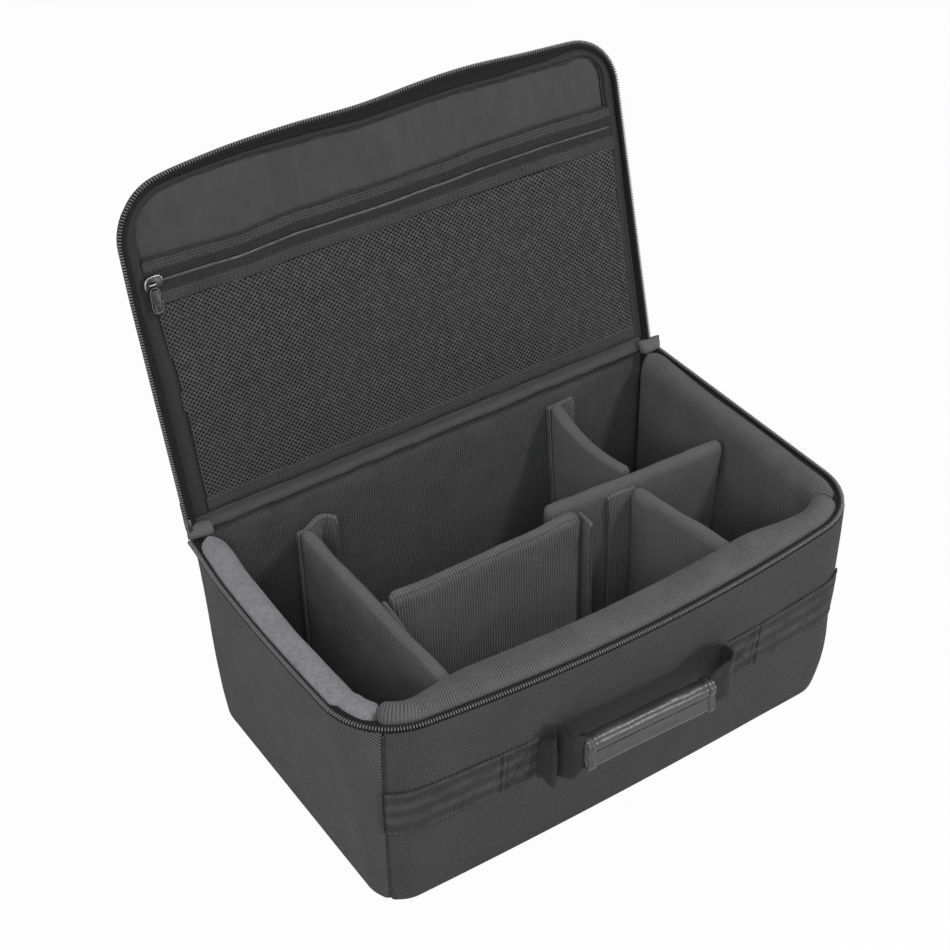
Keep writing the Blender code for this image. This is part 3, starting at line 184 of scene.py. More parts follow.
def case_point(part, share, z, inset, back=None):
    """Point of the box's outline at a height, moved inwards by inset."""
    level = z / CASE_HEIGHT
    half = mix(BASE_HALF_WIDTH, RIM_HALF_WIDTH, level) - inset
    front = mix(BASE_DEPTH, RIM_DEPTH, level) - inset
    bulge = mix(BASE_BULGE, RIM_BULGE, level)
    rear_radius = max(mix(BASE_RADIUS, RIM_BACK_RADIUS, level) - inset, 0.004)
    if part == "back":
        return mix(half - rear_radius, -half + rear_radius, share), front
    if part in ("back_right", "back_left"):
        angle = pi / 2 * (share if part == "back_right" else 1 - share)
        x = half - rear_radius + rear_radius * cos(angle)
        y = front - rear_radius + rear_radius * sin(angle)
        return (x, y) if part == "back_right" else (-x, y)
    radius = max(mix(BASE_RADIUS, RIM_FRONT_RADIUS, level ** CORNER_POWER) - inset, 0.004)
    end = front - rear_radius if back is None else back
    return u_point(half, front, bulge, radius, part, share, end)


def front_y(x, z, inset=0.0):
    """Y of the box's front at x, between the corners."""
    level = z / CASE_HEIGHT
    half = mix(BASE_HALF_WIDTH, RIM_HALF_WIDTH, level) - inset
    radius = max(mix(BASE_RADIUS, RIM_FRONT_RADIUS, level ** CORNER_POWER) - inset, 0.004)
    bulge = mix(BASE_BULGE, RIM_BULGE, level)
    straight = half - radius
    span = straight + radius * cos(atan2(straight, 2 * bulge))
    return -mix(BASE_DEPTH, RIM_DEPTH, level) + inset - bulge * (1 - (x / span) ** 2)


def side_x(z, inset=0.0):
    return mix(BASE_HALF_WIDTH, RIM_HALF_WIDTH, z / CASE_HEIGHT) - inset


def back_y(z, inset=0.0):
    return mix(BASE_DEPTH, RIM_DEPTH, z / CASE_HEIGHT) - inset


def lid_place(x, a, b):
    """World place of a point of the lid as it stands open."""
    c, s = cos(LID_ANGLE), sin(LID_ANGLE)
    return Vector((x, HINGE_Y - c * a + s * b, HINGE_Z + s * a + c * b))


def lid_point(part, share, offset, start=LID_START):
    """x and a of the lid's outline, moved inwards by offset."""
    x, y = u_point(LID_HALF - offset, LID_LENGTH - offset, LID_BULGE, LID_RADIUS - offset, part, share, -start)
    free = smooth(-y, 0.12, 0.20)
    slack = 0.0
    for middle, reach, height in LID_SLACK:
        slack += height * (1 - smooth(abs(x - middle), 0.0, reach))
    corner = smooth(-x, 0.135, 0.185) * smooth(-y, 0.15, 0.215)
    return x + 0.0010 * corner, -y + slack * free - 0.0034 * corner


def frame_width(part, share, column=1):
    """Width of the lid's frame at a station of its outline."""
    if part == "front_left":
        return mix(FRAME_LEFT[-1][column], FRAME_TOP[0][column], share)
    if part == "front_right":
        square = sin(pi * share) * (0.0034 if column == 1 else 0.0012)
        return mix(FRAME_TOP[-1][column], FRAME_RIGHT[-1][column], share) - square
    x, a = lid_point(part, share, 0.0)
    if part == "front":
        return read(FRAME_TOP, x, column)
    return read(FRAME_LEFT if part == "left" else FRAME_RIGHT, a, column)


def seam_shift(part, share, z):
    """The corner seams lean: they stand further round the corner near the rim."""
    if part not in ("front_left", "front_right"):
        return share
    place = 0.45 + 0.17 * (max(z, 0.0) / CASE_HEIGHT) ** 0.6
    t = share if part == "front_left" else 1 - share
    t = t * place / SEAM if t < SEAM else 1 - (1 - t) * (1 - place) / (1 - SEAM)
    return t if part == "front_left" else 1 - t


def spans(*parts):
    """Stations of an outline: each part gives its name, first and last share and number of steps."""
    walk = []
    for part, first, last, count in parts:
        fresh = [(part, s) for s in steps(count, first, last)]
        walk += fresh[1:] if walk else fresh
    return walk


def lid_walk(side=36, corner=14, front=60):
    return spans(("left", 0, 1, side), ("front_left", 0, 1, corner), ("front", 0, 1, front),
                 ("front_right", 0, 1, corner), ("right", 0, 1, side))


# Meshes


def mesh_object(name, points, faces, uvs, look):
    """Object in world coordinates; uvs is a list of (u, v) in metres for each face's corners."""
    mesh = bpy.data.meshes.new(name)
    mesh.from_pydata([tuple(p) for p in points], [], faces)
    if uvs:
        layer = mesh.uv_layers.new(name="cloth")
        flatter = [uv for face in uvs for uv in face]
        for i, uv in enumerate(flatter):
            layer.data[i].uv = uv
    mesh.materials.append(look)
    mesh.shade_smooth()
    obj = bpy.data.objects.new(name, mesh)
    bpy.context.scene.collection.objects.link(obj)
    return obj


def surface(name, rows, look, closed=False, ends=False, outward=True, plane=None):
    """Grid through rows of points. UV u runs from row to row and v along each row, in metres.

    closed joins each row into a ring, ends closes the first and last ring with ladders of faces,
    and plane gives (u, v) from a row and column instead.
    """
    count = len(rows[0])
    middle = len(rows) // 2
    along = [0.0]
    for a, b in zip(rows, rows[1:]):
        gaps = [(Vector(p) - Vector(q)).length for p, q in zip(a, b)]
        along.append(along[-1] + sum(gaps) / len(gaps))
    across = [0.0]
    ring = [Vector(p) for p in rows[middle]]
    for i in range(1, count + 1):
        across.append(across[-1] + (ring[i % count] - ring[i - 1]).length)
    points = [p for row in rows for p in row]
    faces, uvs = [], []
    for r in range(len(rows) - 1):
        for i in range(count if closed else count - 1):
            j = (i + 1) % count
            corners = [(r, i, i), (r, j, i + 1), (r + 1, j, i + 1), (r + 1, i, i)]
            if not outward:
                corners.reverse()
            faces.append([row * count + col for row, col, _ in corners])
            if plane:
                uvs.append([plane[row][place if place < len(plane[row]) else col] for row, col, place in corners])
            else:
                uvs.append([(along[row], across[place]) for row, _, place in corners])
    if ends:
        for r, turn in ((0, outward), (len(rows) - 1, not outward)):
            for i in range(count // 2 - 1):
                corners = [i, i + 1, count - 2 - i, count - 1 - i]
                if turn:
                    corners.reverse()
                faces.append([r * count + c for c in corners])
                low, high = across[i], across[i + 1]
                side = {i: (0.0, low), i + 1: (0.0, high), count - 2 - i: (0.01, high), count - 1 - i: (0.01, low)}
                uvs.append([side[c] for c in corners])
    return mesh_object(name, points, faces, uvs, look)


def settle(obj):
    """Bake an object's modifiers into its mesh."""
    graph = bpy.context.evaluated_depsgraph_get()
    old = obj.data
    obj.data = bpy.data.meshes.new_from_object(obj.evaluated_get(graph))
    obj.data.name = obj.name
    obj.modifiers.clear()
    bpy.data.meshes.remove(old)
    return obj


def thicken(obj, thickness):
    solid = obj.modifiers.new("thickness", "SOLIDIFY")
    solid.thickness = thickness
    solid.offset = -1
    solid.use_even_offset = True
    return settle(obj)


def finer(obj):
    sub = obj.modifiers.new("finer", "SUBSURF")
    sub.levels = 1
    sub.render_levels = 1
    return settle(obj)


class Batch:
    """Many small copies gathered in one mesh."""

    def __init__(self):
        self.points, self.faces = [], []

    def add(self, points, faces):
        base = len(self.points)
        self.points += points
        self.faces += [[base + i for i in face] for face in faces]

    def make(self, name, look):
        return mesh_object(name, self.points, self.faces, None, look)


def tube_points(path, radius, sides=6, squash=1.0, up=Vector((0, 0, 1))):
    """Points and faces of a closed tube along a path, flattened across up by squash."""
    rows = []
    last = len(path) - 1
    for i, p in enumerate(path):
        run = (path[min(i + 1, last)] - path[max(i - 1, 0)]).normalized()
        side = run.cross(up)
        side = side.normalized() if side.length > 1e-6 else Vector((1, 0, 0))
        top = side.cross(run).normalized()
        rows.append([p + side * radius * cos(2 * pi * k / sides) + top * radius * squash * sin(2 * pi * k / sides)
                     for k in range(sides)])
    points = [p for row in rows for p in row]
    faces = []
    for r in range(last):
        for k in range(sides):
            j = (k + 1) % sides
            faces.append([r * sides + k, r * sides + j, (r + 1) * sides + j, (r + 1) * sides + k])
    faces.append(list(range(sides))[::-1])
    faces.append([last * sides + k for k in range(sides)])
    return points, faces


def along_path(path, pitch, first=0.0):
    """Places and directions at even distances along a polyline."""
    places = []
    want = first
    walked = 0.0
    for a, b in zip(path, path[1:]):
        run = b - a
        length = run.length
        while length > 0 and want <= walked + length:
            places.append((a + run * ((want - walked) / length), run.normalized()))
            want += pitch
        walked += length
    return places


def stitches(batch, path, normal, length=0.0024, gap=0.0009, radius=0.00024):
    """Row of thread stitches along a path; each dips into the cloth at its ends."""
    for place, run in along_path(path, length + gap, first=length / 2):
        up = normal(place) if callable(normal) else normal
        ends = []
        for t in (-1.0, -0.6, 0.0, 0.6, 1.0):
            ends.append(place + run * (t * length / 2) + up * (radius * (0.9 - 1.3 * t * t)))
        batch.add(*tube_points(ends, radius, 5, 0.8, up))


# Materials


class Look:
    """Principled material and the few node helpers that the fabrics share."""

    def __init__(self, name, colour, roughness, **sockets):
        self.material = bpy.data.materials.new(name)
        self.material.use_nodes = True
        self.tree = self.material.node_tree
        self.shader = self.tree.nodes["Principled BSDF"]
        self.shader.inputs["Base Color"].default_value = (*colour, 1)
        self.shader.inputs["Roughness"].default_value = roughness
        self.colour = colour
        for key, value in sockets.items():
            self.shader.inputs[key.replace("_", " ")].default_value = value

    def node(self, kind, **props):
        made = self.tree.nodes.new("ShaderNode" + kind)
        for key, value in props.items():
            setattr(made, key, value)
        return made

    def put(self, socket, value):
        if hasattr(value, "is_output"):
            self.tree.links.new(value, socket)
        else:
            socket.default_value = value

    def math(self, op, a, b=0.0, c=0.0):
        made = self.node("Math", operation=op)
        self.put(made.inputs[0], a)
        self.put(made.inputs[1], b)
        self.put(made.inputs[2], c)
        return made.outputs[0]

    def times(self, a, b):
        return self.math("MULTIPLY", a, b)

    def total(self, *parts):
        """Sum of values, each times its weight."""
        found = 0.0
        for value, weight in parts:
            found = self.math("MULTIPLY_ADD", value, weight, found)
        return found

    def uv(self):
        made = self.node("UVMap", uv_map="cloth")
        parts = self.node("SeparateXYZ")
        self.put(parts.inputs[0], made.outputs[0])
        return parts.outputs[0], parts.outputs[1]

    def place(self):
        return self.node("TexCoord").outputs["Object"]

    def noise(self, size, detail=2.0, stretch=None):
        made = self.node("TexNoise")
        made.inputs["Scale"].default_value = 1 / size
        made.inputs["Detail"].default_value = detail
        where = self.place()
        if stretch:
            scaled = self.node("Mapping")
            scaled.inputs["Scale"].default_value = stretch
            self.put(scaled.inputs[0], where)
            where = scaled.outputs[0]
        self.put(made.inputs["Vector"], where)
        return made.outputs["Fac"]

    def wave(self, coordinate, pitch, phase=0.0):
        """Sine from 0 to 1 with one crest to each pitch."""
        turns = self.math("MULTIPLY_ADD", coordinate, 2 * pi / pitch, phase)
        return self.math("MULTIPLY_ADD", self.math("SINE", turns), 0.5, 0.5)

    def ramp(self, value, low, high, to_low=0.0, to_high=1.0):
        made = self.node("MapRange", interpolation_type="SMOOTHSTEP")
        for i, v in enumerate((value, low, high, to_low, to_high)):
            self.put(made.inputs[i], v)
        return made.outputs[0]

    def blend(self, share, dark, light):
        made = self.node("Mix", data_type="RGBA")
        self.put(made.inputs[0], share)
        self.put(made.inputs[6], (*dark, 1) if isinstance(dark, tuple) else dark)
        self.put(made.inputs[7], (*light, 1) if isinstance(light, tuple) else light)
        return made.outputs[2]

    def shades(self, share, low, high):
        """Base colour from low to high times the material's own colour."""
        dark = tuple(c * low for c in self.colour)
        light = tuple(min(1, c * high) for c in self.colour)
        self.put(self.shader.inputs["Base Color"], self.blend(share, dark, light))

    def relief(self, *heights):
        """Chain of bumps: pairs of a height from 0 to 1 and its depth in metres."""
        last = None
        for height, depth in heights:
            made = self.node("Bump")
            made.inputs["Distance"].default_value = depth
            self.put(made.inputs["Height"], height)
            if last:
                self.put(made.inputs["Normal"], last)
            last = made.outputs[0]
        self.put(self.shader.inputs["Normal"], last)


def plain_weave(look, pitch):
    """Over-and-under threads, from 0 to 1."""
    u, v = look.uv()
    a, b = look.math("MULTIPLY", u, 1 / pitch), look.math("MULTIPLY", v, 1 / pitch)
    over = look.math("ABSOLUTE", look.math("SINE", look.math("MULTIPLY", a, pi)))
    under = look.math("ABSOLUTE", look.math("SINE", look.math("MULTIPLY", b, pi)))
    cell = look.math("ADD", look.math("FLOOR", a), look.math("FLOOR", b))
    odd = look.math("MODULO", look.math("ABSOLUTE", cell), 2.0)
    picked = look.node("Mix", data_type="FLOAT")
    look.put(picked.inputs[0], odd)
    look.put(picked.inputs[2], over)
    look.put(picked.inputs[3], under)
    return picked.outputs[0]


def oxford(name, colour, pitch=0.0014):
    """Coated woven shell cloth."""
    look = Look(name, colour, 0.82, Specular_IOR_Level=0.16)
    threads = plain_weave(look, pitch)
    cloudy = look.noise(0.03, 3)
    slub = look.noise(0.0016, 2)
    share = look.total((threads, 0.44), (slub, 0.36), (cloudy, 0.2))
    look.shades(look.ramp(share, 0.2, 0.8), 0.50, 1.55)
    look.relief((threads, 0.00030), (cloudy, 0.0006))
    return look.material


def twill(name, colour, pitch=0.0017):
    """Shell cloth with a steep diagonal line."""
    look = Look(name, colour, 0.82, Specular_IOR_Level=0.16)
    u, v = look.uv()
    diagonal = look.wave(look.total((u, 1), (v, 0.62)), pitch)
    cross = look.wave(v, pitch * 0.6)
    slub = look.noise(0.0014, 2)
    cloudy = look.noise(0.03, 3)
    height = look.total((diagonal, 0.75), (cross, 0.25))
    share = look.total((height, 0.52), (slub, 0.28), (cloudy, 0.2))
    look.shades(look.ramp(share, 0.25, 0.75), 0.40, 1.65)
    look.relief((height, 0.00034), (cloudy, 0.0006))
    return look.material


def ribbed(name, colour, pitch=0.0017, low=0.5, high=1.42, depth=0.0006, sheen=0.12, seam=None, one_side=True):
    """Brushed loop cloth with ribs across the wall it covers; v is the distance from its crest."""
    look = Look(name, colour, 0.95, Specular_IOR_Level=0.08, Sheen_Weight=sheen, Sheen_Roughness=0.5)
    u, v = look.uv()
    ribs = look.wave(look.total((u, 1), (look.noise(0.012, 2), pitch * 0.9)), pitch)
    loops = look.wave(v, pitch * 0.8)
    fuzz = look.noise(0.0009, 3)
    cloudy = look.noise(0.02, 2)
    height = look.total((ribs, 0.7), (look.times(loops, ribs), 0.3))
    worn = look.ramp(look.noise(0.022, 2), 0.35, 0.6, 0.55, 1.0)
    if one_side:
        worn = look.times(look.ramp(v, -0.016, -0.003, 0.15, 1.0), worn)
    height = look.math("MULTIPLY_ADD", look.math("SUBTRACT", height, 0.5), worn, 0.5)
    if seam is not None:
        line = look.total((v, 1), (look.noise(0.02, 1), 0.002))
        off = look.math("ABSOLUTE", look.math("SUBTRACT", line, seam + 0.001))
        height = look.times(height, look.ramp(off, 0.0, 0.0010, 0.25, 1.0))
    share = look.total((height, 0.55), (fuzz, 0.30), (cloudy, 0.15))
    look.shades(look.ramp(share, 0.15, 0.75), low, high)
    look.relief((height, depth), (fuzz, 0.00035), (cloudy, 0.0012))
    return look.material


def napped(name, colour, sheen=0.2):
    """Soft fleece without ribs."""
    look = Look(name, colour, 1.0, Specular_IOR_Level=0.1, Sheen_Weight=sheen, Sheen_Roughness=0.6)
    fuzz = look.noise(0.0011, 4)
    tufts = look.noise(0.0035, 3)
    cloudy = look.noise(0.018, 2)
    share = look.total((fuzz, 0.45), (tufts, 0.35), (cloudy, 0.2))
    look.shades(look.ramp(share, 0.3, 0.7), 0.74, 1.24)
    look.relief((fuzz, 0.0005), (tufts, 0.0009), (cloudy, 0.0015))
    return look.material


def lining(name, colour, paint_pocket_shade=True):
    """Smooth nylon with a fine weave and soft puckers; below the pocket's zip it carries painted shade of the pocket's
    inside.
    """
    look = Look(name, colour, 0.66, Specular_IOR_Level=0.22, Sheen_Weight=0.05)
    threads = plain_weave(look, 0.0006)
    pucker = look.noise(0.006, 2, (1.0, 0.45, 0.45))
    cloudy = look.noise(0.05, 3)
    streak = look.noise(0.0035, 2, (1.0, 0.10, 0.10))
    share = look.total((threads, 0.30), (pucker, 0.25), (streak, 0.15), (cloudy, 0.25))
    if paint_pocket_shade:
        # Painted shade: behind the net the lining is darkened almost to black, as the pocket's inside lies in shade.
        u, v = look.uv()
        behind = look.times(look.ramp(v, 0.1520, 0.1560, 1.0, 0.0), look.ramp(v, 0.0175, 0.0195))
        share = look.times(share, look.math("SUBTRACT", 1.0, behind))
        look.shades(share, 0.12, 1.62)
    else:
        look.shades(share, 0.60, 1.50)
    look.relief((threads, 0.00008), (pucker, 0.0006), (streak, 0.0001), (cloudy, 0.002))
    return look.material


def webbing(name, colour, rib, low, high):
    """Woven tape: ribs along it with a fine cross thread."""
    look = Look(name, colour, 0.8, Specular_IOR_Level=0.18, Sheen_Weight=0.05)
    u, v = look.uv()
    ribs = look.wave(v, rib)
    thread = look.wave(look.total((u, 1), (ribs, 0.0003)), 0.0009)
    slub = look.noise(0.0013, 2)
    share = look.total((ribs, 0.35), (thread, 0.3), (slub, 0.35))
    look.shades(look.ramp(share, 0.2, 0.8), low, high)
    look.relief((ribs, 0.0003), (thread, 0.00018), (slub, 0.0002))
    return look.material


def banding(name, colour):
    """Wide webbing with three brushed ribs; its UV v is the height above the ground."""
    look = Look(name, colour, 0.85, Specular_IOR_Level=0.14)
    u, v = look.uv()
    rib = look.ramp(look.wave(v, RIB_PITCH, pi / 2 - 2 * pi * RIB_MIDDLE / RIB_PITCH), 0.2, 0.85)
    zigzag = look.math("ABSOLUTE", look.math("SINE", look.times(v, pi / 0.0030)))
    thread = look.wave(look.total((u, 1), (zigzag, 0.0009)), 0.0014)
    slub = look.noise(0.0016, 3)
    cloudy = look.noise(0.010, 3)
    patchy = look.times(rib, look.ramp(cloudy, 0.30, 0.62, 0.35, 1.0))
    share = look.total((patchy, 0.24), (thread, 0.22), (slub, 0.34), (cloudy, 0.26))
    look.shades(look.ramp(share, 0.2, 0.85), 0.62, 1.55)
    look.relief((thread, 0.00018), (slub, 0.0003), (cloudy, 0.0006))
    return look.material


def pocket_cloth(name, colour):
    """Flat tape of the pocket; its UV v is the height along the lid, and its sewn bands are lighter."""
    look = Look(name, colour, 0.8, Specular_IOR_Level=0.18)
    u, v = look.uv()
    upper = look.times(look.ramp(v, 0.1732, 0.1742), look.ramp(v, 0.1796, 0.1800, 1.0, 0.0))
    lower = look.times(look.ramp(v, 0.1510, 0.1520), look.ramp(v, 0.1588, 0.1598, 1.0, 0.0))
    brushed = look.total((upper, 1), (lower, 1), (look.ramp(v, 0.03, 0.02), 1))
    stitch = look.wave(u, 0.0024)
    row = look.wave(v, 0.0021)
    slub = look.noise(0.0014, 3)
    cloudy = look.noise(0.012, 2)
    share = look.total((look.times(stitch, row), 0.24), (slub, 0.36), (cloudy, 0.2), (brushed, 0.3))
    look.shades(look.ramp(share, 0.1, 1.0), 0.45, 1.9)
    look.relief((stitch, 0.00012), (row, 0.00012), (slub, 0.0002))
    return look.material


def leather(name, colour):
    """Grained grip leather with a satin shine."""
    look = Look(name, colour, 0.30, Specular_IOR_Level=0.6)
    pebble = look.node("TexVoronoi", feature="SMOOTH_F1")
    pebble.inputs["Scale"].default_value = 1 / 0.0013
    look.put(pebble.inputs["Vector"], look.place())
    grain = pebble.outputs["Distance"]
    fine = look.noise(0.0007, 3)
    wear = look.noise(0.012, 3)
    look.shades(look.total((fine, 0.4), (wear, 0.6)), 0.7, 1.35)
    worn = look.total((grain, 0.12), (wear, 0.18))
    look.put(look.shader.inputs["Roughness"], look.math("ADD", worn, 0.22))
    look.relief((grain, 0.00009), (fine, 0.00005), (wear, 0.0003))
    return look.material


def moulded(name, colour, roughness=0.42, **sockets):
    """Plastic or painted metal with fine wear."""
    look = Look(name, colour, roughness, **sockets)
    wear = look.noise(0.004, 3)
    fine = look.noise(0.0008, 2)
    look.shades(look.total((wear, 0.6), (fine, 0.4)), 0.75, 1.3)
    look.put(look.shader.inputs["Roughness"], look.ramp(wear, 0.3, 0.7, roughness * 0.75, roughness * 1.3))
    look.relief((fine, 0.00005))
    return look.material


SHELL = oxford("shell_front", (0.047, 0.047, 0.048))
SIDE = twill("shell_side", (0.070, 0.070, 0.071))
RIBS = ribbed("pad_ribs", (0.103, 0.103, 0.105))
FLEECE = napped("pad_fleece", (0.218, 0.219, 0.226))
BACK_RIBS = ribbed("back_ribs", (0.078, 0.078, 0.080))
DIVIDER = ribbed("divider_ribs", (0.128, 0.128, 0.130), 0.0019, seam=0.0035, one_side=False)
SOFT_DIVIDER = ribbed("divider_soft", (0.118, 0.118, 0.121), 0.0016, 0.7, 1.25, 0.0004, one_side=False)
LINING = lining("lid_lining", (0.053, 0.053, 0.054))
HINGE = lining("hinge_lining", (0.060, 0.060, 0.061), False)
BINDING = webbing("lid_binding", (0.027, 0.027, 0.0275), 0.0032, 0.8, 1.25)
WEBBING = banding("front_webbing", (0.046, 0.046, 0.047))
STRAP = webbing("strap_webbing", (0.021, 0.021, 0.0215), 0.0017, 0.6, 1.5)
TAPE = webbing("zip_tape", (0.007, 0.007, 0.0072), 0.0012, 0.7, 1.35)
POCKET_TAPE = pocket_cloth("pocket_tape", (0.030, 0.030, 0.031))
TAB = webbing("tab_cloth", (0.135, 0.135, 0.138), 0.0012, 0.75, 1.25)
NET = moulded("net_thread", (0.040, 0.040, 0.041), 0.75)
# Painted highlight: the black zips' coil teeth are coloured light grey to stand for their glints.
COIL = moulded("zip_coil", (0.125, 0.125, 0.129), 0.34)
DARK_COIL = moulded("pocket_zip_coil", (0.042, 0.042, 0.043), 0.45)
WORN_THREAD = moulded("worn_thread", (0.062, 0.062, 0.064), 0.7)
THREAD = moulded("seam_thread", (0.006, 0.006, 0.0062), 0.7)
GRIP = leather("grip_leather", (0.027, 0.027, 0.0276))
METAL = moulded("slider_metal", (0.30, 0.30, 0.305), 0.30, Metallic=0.9)
RIM_METAL = moulded("puller_rim", (0.075, 0.075, 0.078), 0.32, Metallic=0.6)
DARK_METAL = moulded("puller_metal", (0.006, 0.006, 0.0063), 0.34, Metallic=0.0)


def dress(obj, body, nodes=(), slot=None):
    """Tie a piece to its body and hide the solids it stands for; the finish it takes, slot, is not used."""
    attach(obj, body)
    if nodes:
        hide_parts(*nodes)
    return obj


def flat_size(obj):
    """Width and length of a cloth from its UVs, which are in metres."""
    us = [d.uv[0] for d in obj.data.uv_layers["cloth"].data]
    vs = [d.uv[1] for d in obj.data.uv_layers["cloth"].data]
    return max(us) - min(us), max(vs) - min(vs)


# Shell of the box


def back_corner(x, y, z):
    """The soft left back corner draws in towards the hinge."""
    pull = 0.0058 * smooth(y, 0.045, 0.100) * smooth(-x, 0.12, 0.17) * smooth(z, 0.02, 0.15)
    return Vector((pull, 0.0, 0.0))


def left_bow(x, y, z):
    """The left wall's top bows outwards between the hinge and the front corner."""
    along = sin(pi * clamp((y + 0.118) / 0.215))
    return Vector((-0.0032 * along * smooth(-x, 0.12, 0.17) * smooth(z, 0.085, 0.155), 0.0, 0.0))


def right_bulge(x, y, z):
    """The box swells low down at its right front corner."""
    reach = 0.0028 * smooth(x - y, 0.225, 0.270) * sin(pi * clamp((z + 0.004) / 0.078))
    return Vector((0.69 * reach, -0.72 * reach, 0.0))


def soft_shift(x, y, z):
    return back_corner(x, y, z) + left_bow(x, y, z) + right_bulge(x, y, z)


def shell_panel(name, walk, look, crown=0.0008, seed=0.0):
    """Fabric wall from just under the rim down round the bottom edge."""
    levels = []
    for share in steps(4, 0.18, 1.0):
        angle = pi / 2 * share
        levels.append((EDGE_ROUND * (1 - cos(angle)), EDGE_ROUND * (1 - sin(angle))))
    levels += [(z, 0.0) for z in steps(30, 0.011, 0.1555)]
    levels += [(0.1566, 0.0001), (0.1570, 0.0006)]
    run = distances([Vector(case_point(part, s, 0.08, 0.0)) for part, s in walk])
    total = run[-1]
    rows, plane = [], []
    for z, inset in levels:
        row, flat = [], []
        for (part, share), at in zip(walk, run):
            share = seam_shift(part, share, z)
            x, y = case_point(part, share, z, 0.0)
            edge = min(at, total - at)
            fold = 0.0013 * (1 - smooth(edge, 0.0, 0.0012))
            ridge = 0.0004 * (1 - smooth(abs(edge - 0.0035), 0.0, 0.0025))
            hem = 0.0004 * (1 - smooth(abs(z - 0.1478), 0.0, 0.0012))
            soft = smooth(edge, 0.0, 0.03) * smooth(z, 0.0, 0.03) * smooth(0.157 - z, 0.0, 0.02)
            puff = soft * (crown + 0.0006 * rough(x, y, z, 0.045, seed) + 0.00022 * rough(x, y, z, 0.014, seed))
            x, y = case_point(part, share, z, inset + fold + hem - ridge - puff + 0.00012)
            row.append(Vector((x, y, z)) + soft_shift(x, y, z))
            flat.append((at, z))
        rows.append(row)
        plane.append(flat)
    obj = surface(name, rows, look, plane=plane)
    return thicken(obj, 0.0012)


def make_shell():
    cut = 0.008
    walks = (
        ("front", SHELL, spans(("front_left", SEAM + cut, SEAM + 4 * cut, 4), ("front_left", SEAM + 4 * cut, 1, 9),
                               ("front", 0, 1, 64), ("front_right", 0, 1 - SEAM - 4 * cut, 9),
                               ("front_right", 1 - SEAM - 4 * cut, 1 - SEAM - cut, 4))),
        ("right", SIDE, spans(("front_right", 1 - SEAM + cut, 1, 6), ("right", 0, 1, 34), ("back_right", 0, 0.5 - cut, 6))),
        ("back", SHELL, spans(("back_right", 0.5 + cut, 1, 6), ("back", 0, 1, 56), ("back_left", 0, 0.5 - cut, 6))),
        ("left", SIDE, spans(("back_left", 0.5 + cut, 1, 6), ("left", 0, 1, 34), ("front_left", 0, SEAM - 4 * cut, 6),
                             ("front_left", SEAM - 4 * cut, SEAM - cut, 4))),
    )
    for i, (name, look, walk) in enumerate(walks):
        obj = shell_panel(name + "_shell", walk, look, seed=3.1 * i)
        dress(obj, "case", [name + "_panel"], "shell_fabric")
        flat_size(obj)
    make_base()
    seams = Batch()
    for part, share in (("front_left", SEAM), ("front_right", 1 - SEAM), ("back_right", 0.5), ("back_left", 0.5)):
        path = []
        for z in steps(30, 0.004, 0.154):
            x, y = case_point(part, seam_shift(part, share, z), z, 0.0013)
            path.append(Vector((x, y, z)) + soft_shift(x, y, z))
        out = Vector((path[0].x, path[0].y, 0)).normalized()
        seams.add(*tube_points(path, 0.0013, 8, 0.6, out))
    dress(seams.make("shell_seams", THREAD), "case", slot="shell_fabric")


def whole_walk(side=30, corner=8, front=48):
    walk = spans(("left", 0, 1, side), ("front_left", 0, 1, corner), ("front", 0, 1, front),
                 ("front_right", 0, 1, corner), ("right", 0, 1, side), ("back_right", 0, 1, corner),
                 ("back", 0, 1, front), ("back_left", 0, 1, corner))
    return walk[:-1]


def make_base():
    """Fabric under the box, sewn to the walls just inside its rounded edge."""
    angle = pi / 2 * 0.18
    edge = EDGE_ROUND * (1 - sin(angle))
    rows, plane = [], []
    for inset, z in ((edge - 0.0004, 0.0009), (edge + 0.0006, 0.0002), (edge + 0.003, 0.0), (0.03, 0.0),
                     (0.06, 0.0), (0.09, 0.0), (0.105, 0.0)):
        row = []
        for part, share in whole_walk():
            x, y = case_point(part, share, 0.0, min(inset, 0.02))
            if inset > 0.02:
                t = 1 - (inset - 0.02) / 0.090
                x, y = x * t, y * t
            row.append(Vector((x, y, z)))
        rows.append(row)
        plane.append([(p.x, p.y) for p in row])
    obj = surface("bottom_shell", rows, SHELL, closed=True, ends=False, outward=False, plane=plane)
    thicken(obj, 0.0010)
    dress(obj, "case", ["bottom_panel"], "shell_fabric")


# Padded walls and dividers

DIV_TOP, DIV_LOW, DIV_WIDE = 0.150, 0.0153, 0.010
TAB_WIDE, TAB_TOP, TAB_LOW = 0.0036, 0.146, 0.018
SLIDE = 0.0004
WALL = PAD_INSET + PAD_WIDE + SLIDE

puffed = []


def section(width, low, top, height, lean=0.5, rows=18, arc=7, draw=0.0):
    """Left and right half of a padded wall's section, each from its foot to the crest: across, z."""
    left, right = [], []
    crest = width * lean
    steep = 0.5 * height
    for i in range(rows):
        t = (i / (rows - 1)) ** 0.9
        z = mix(low, top - steep, t)
        tuck = 0.0025 * (1 - smooth(z, low, low + 0.006))
        left.append((tuck + draw * smooth(z, top - steep - 0.012, top - steep), z))
        right.append((width - tuck, mix(low, top - height, t)))
    for i in range(1, arc + 1):
        angle = pi / 2 * i / (arc + 0.5)
        left.append((mix(draw, crest, 1 - cos(angle)), top - steep * (1 - sin(angle))))
        right.append((width - (width - crest) * (1 - cos(angle)), top - height * (1 - sin(angle))))
    return left, right


def end_shrink(distance, reach):
    """How far a section is drawn in near an end, from 0 to 0.9, as on a rounded edge."""
    t = clamp(1 - distance / reach)
    return 0.92 * (1 - sqrt(max(0.0, 1 - t * t)))


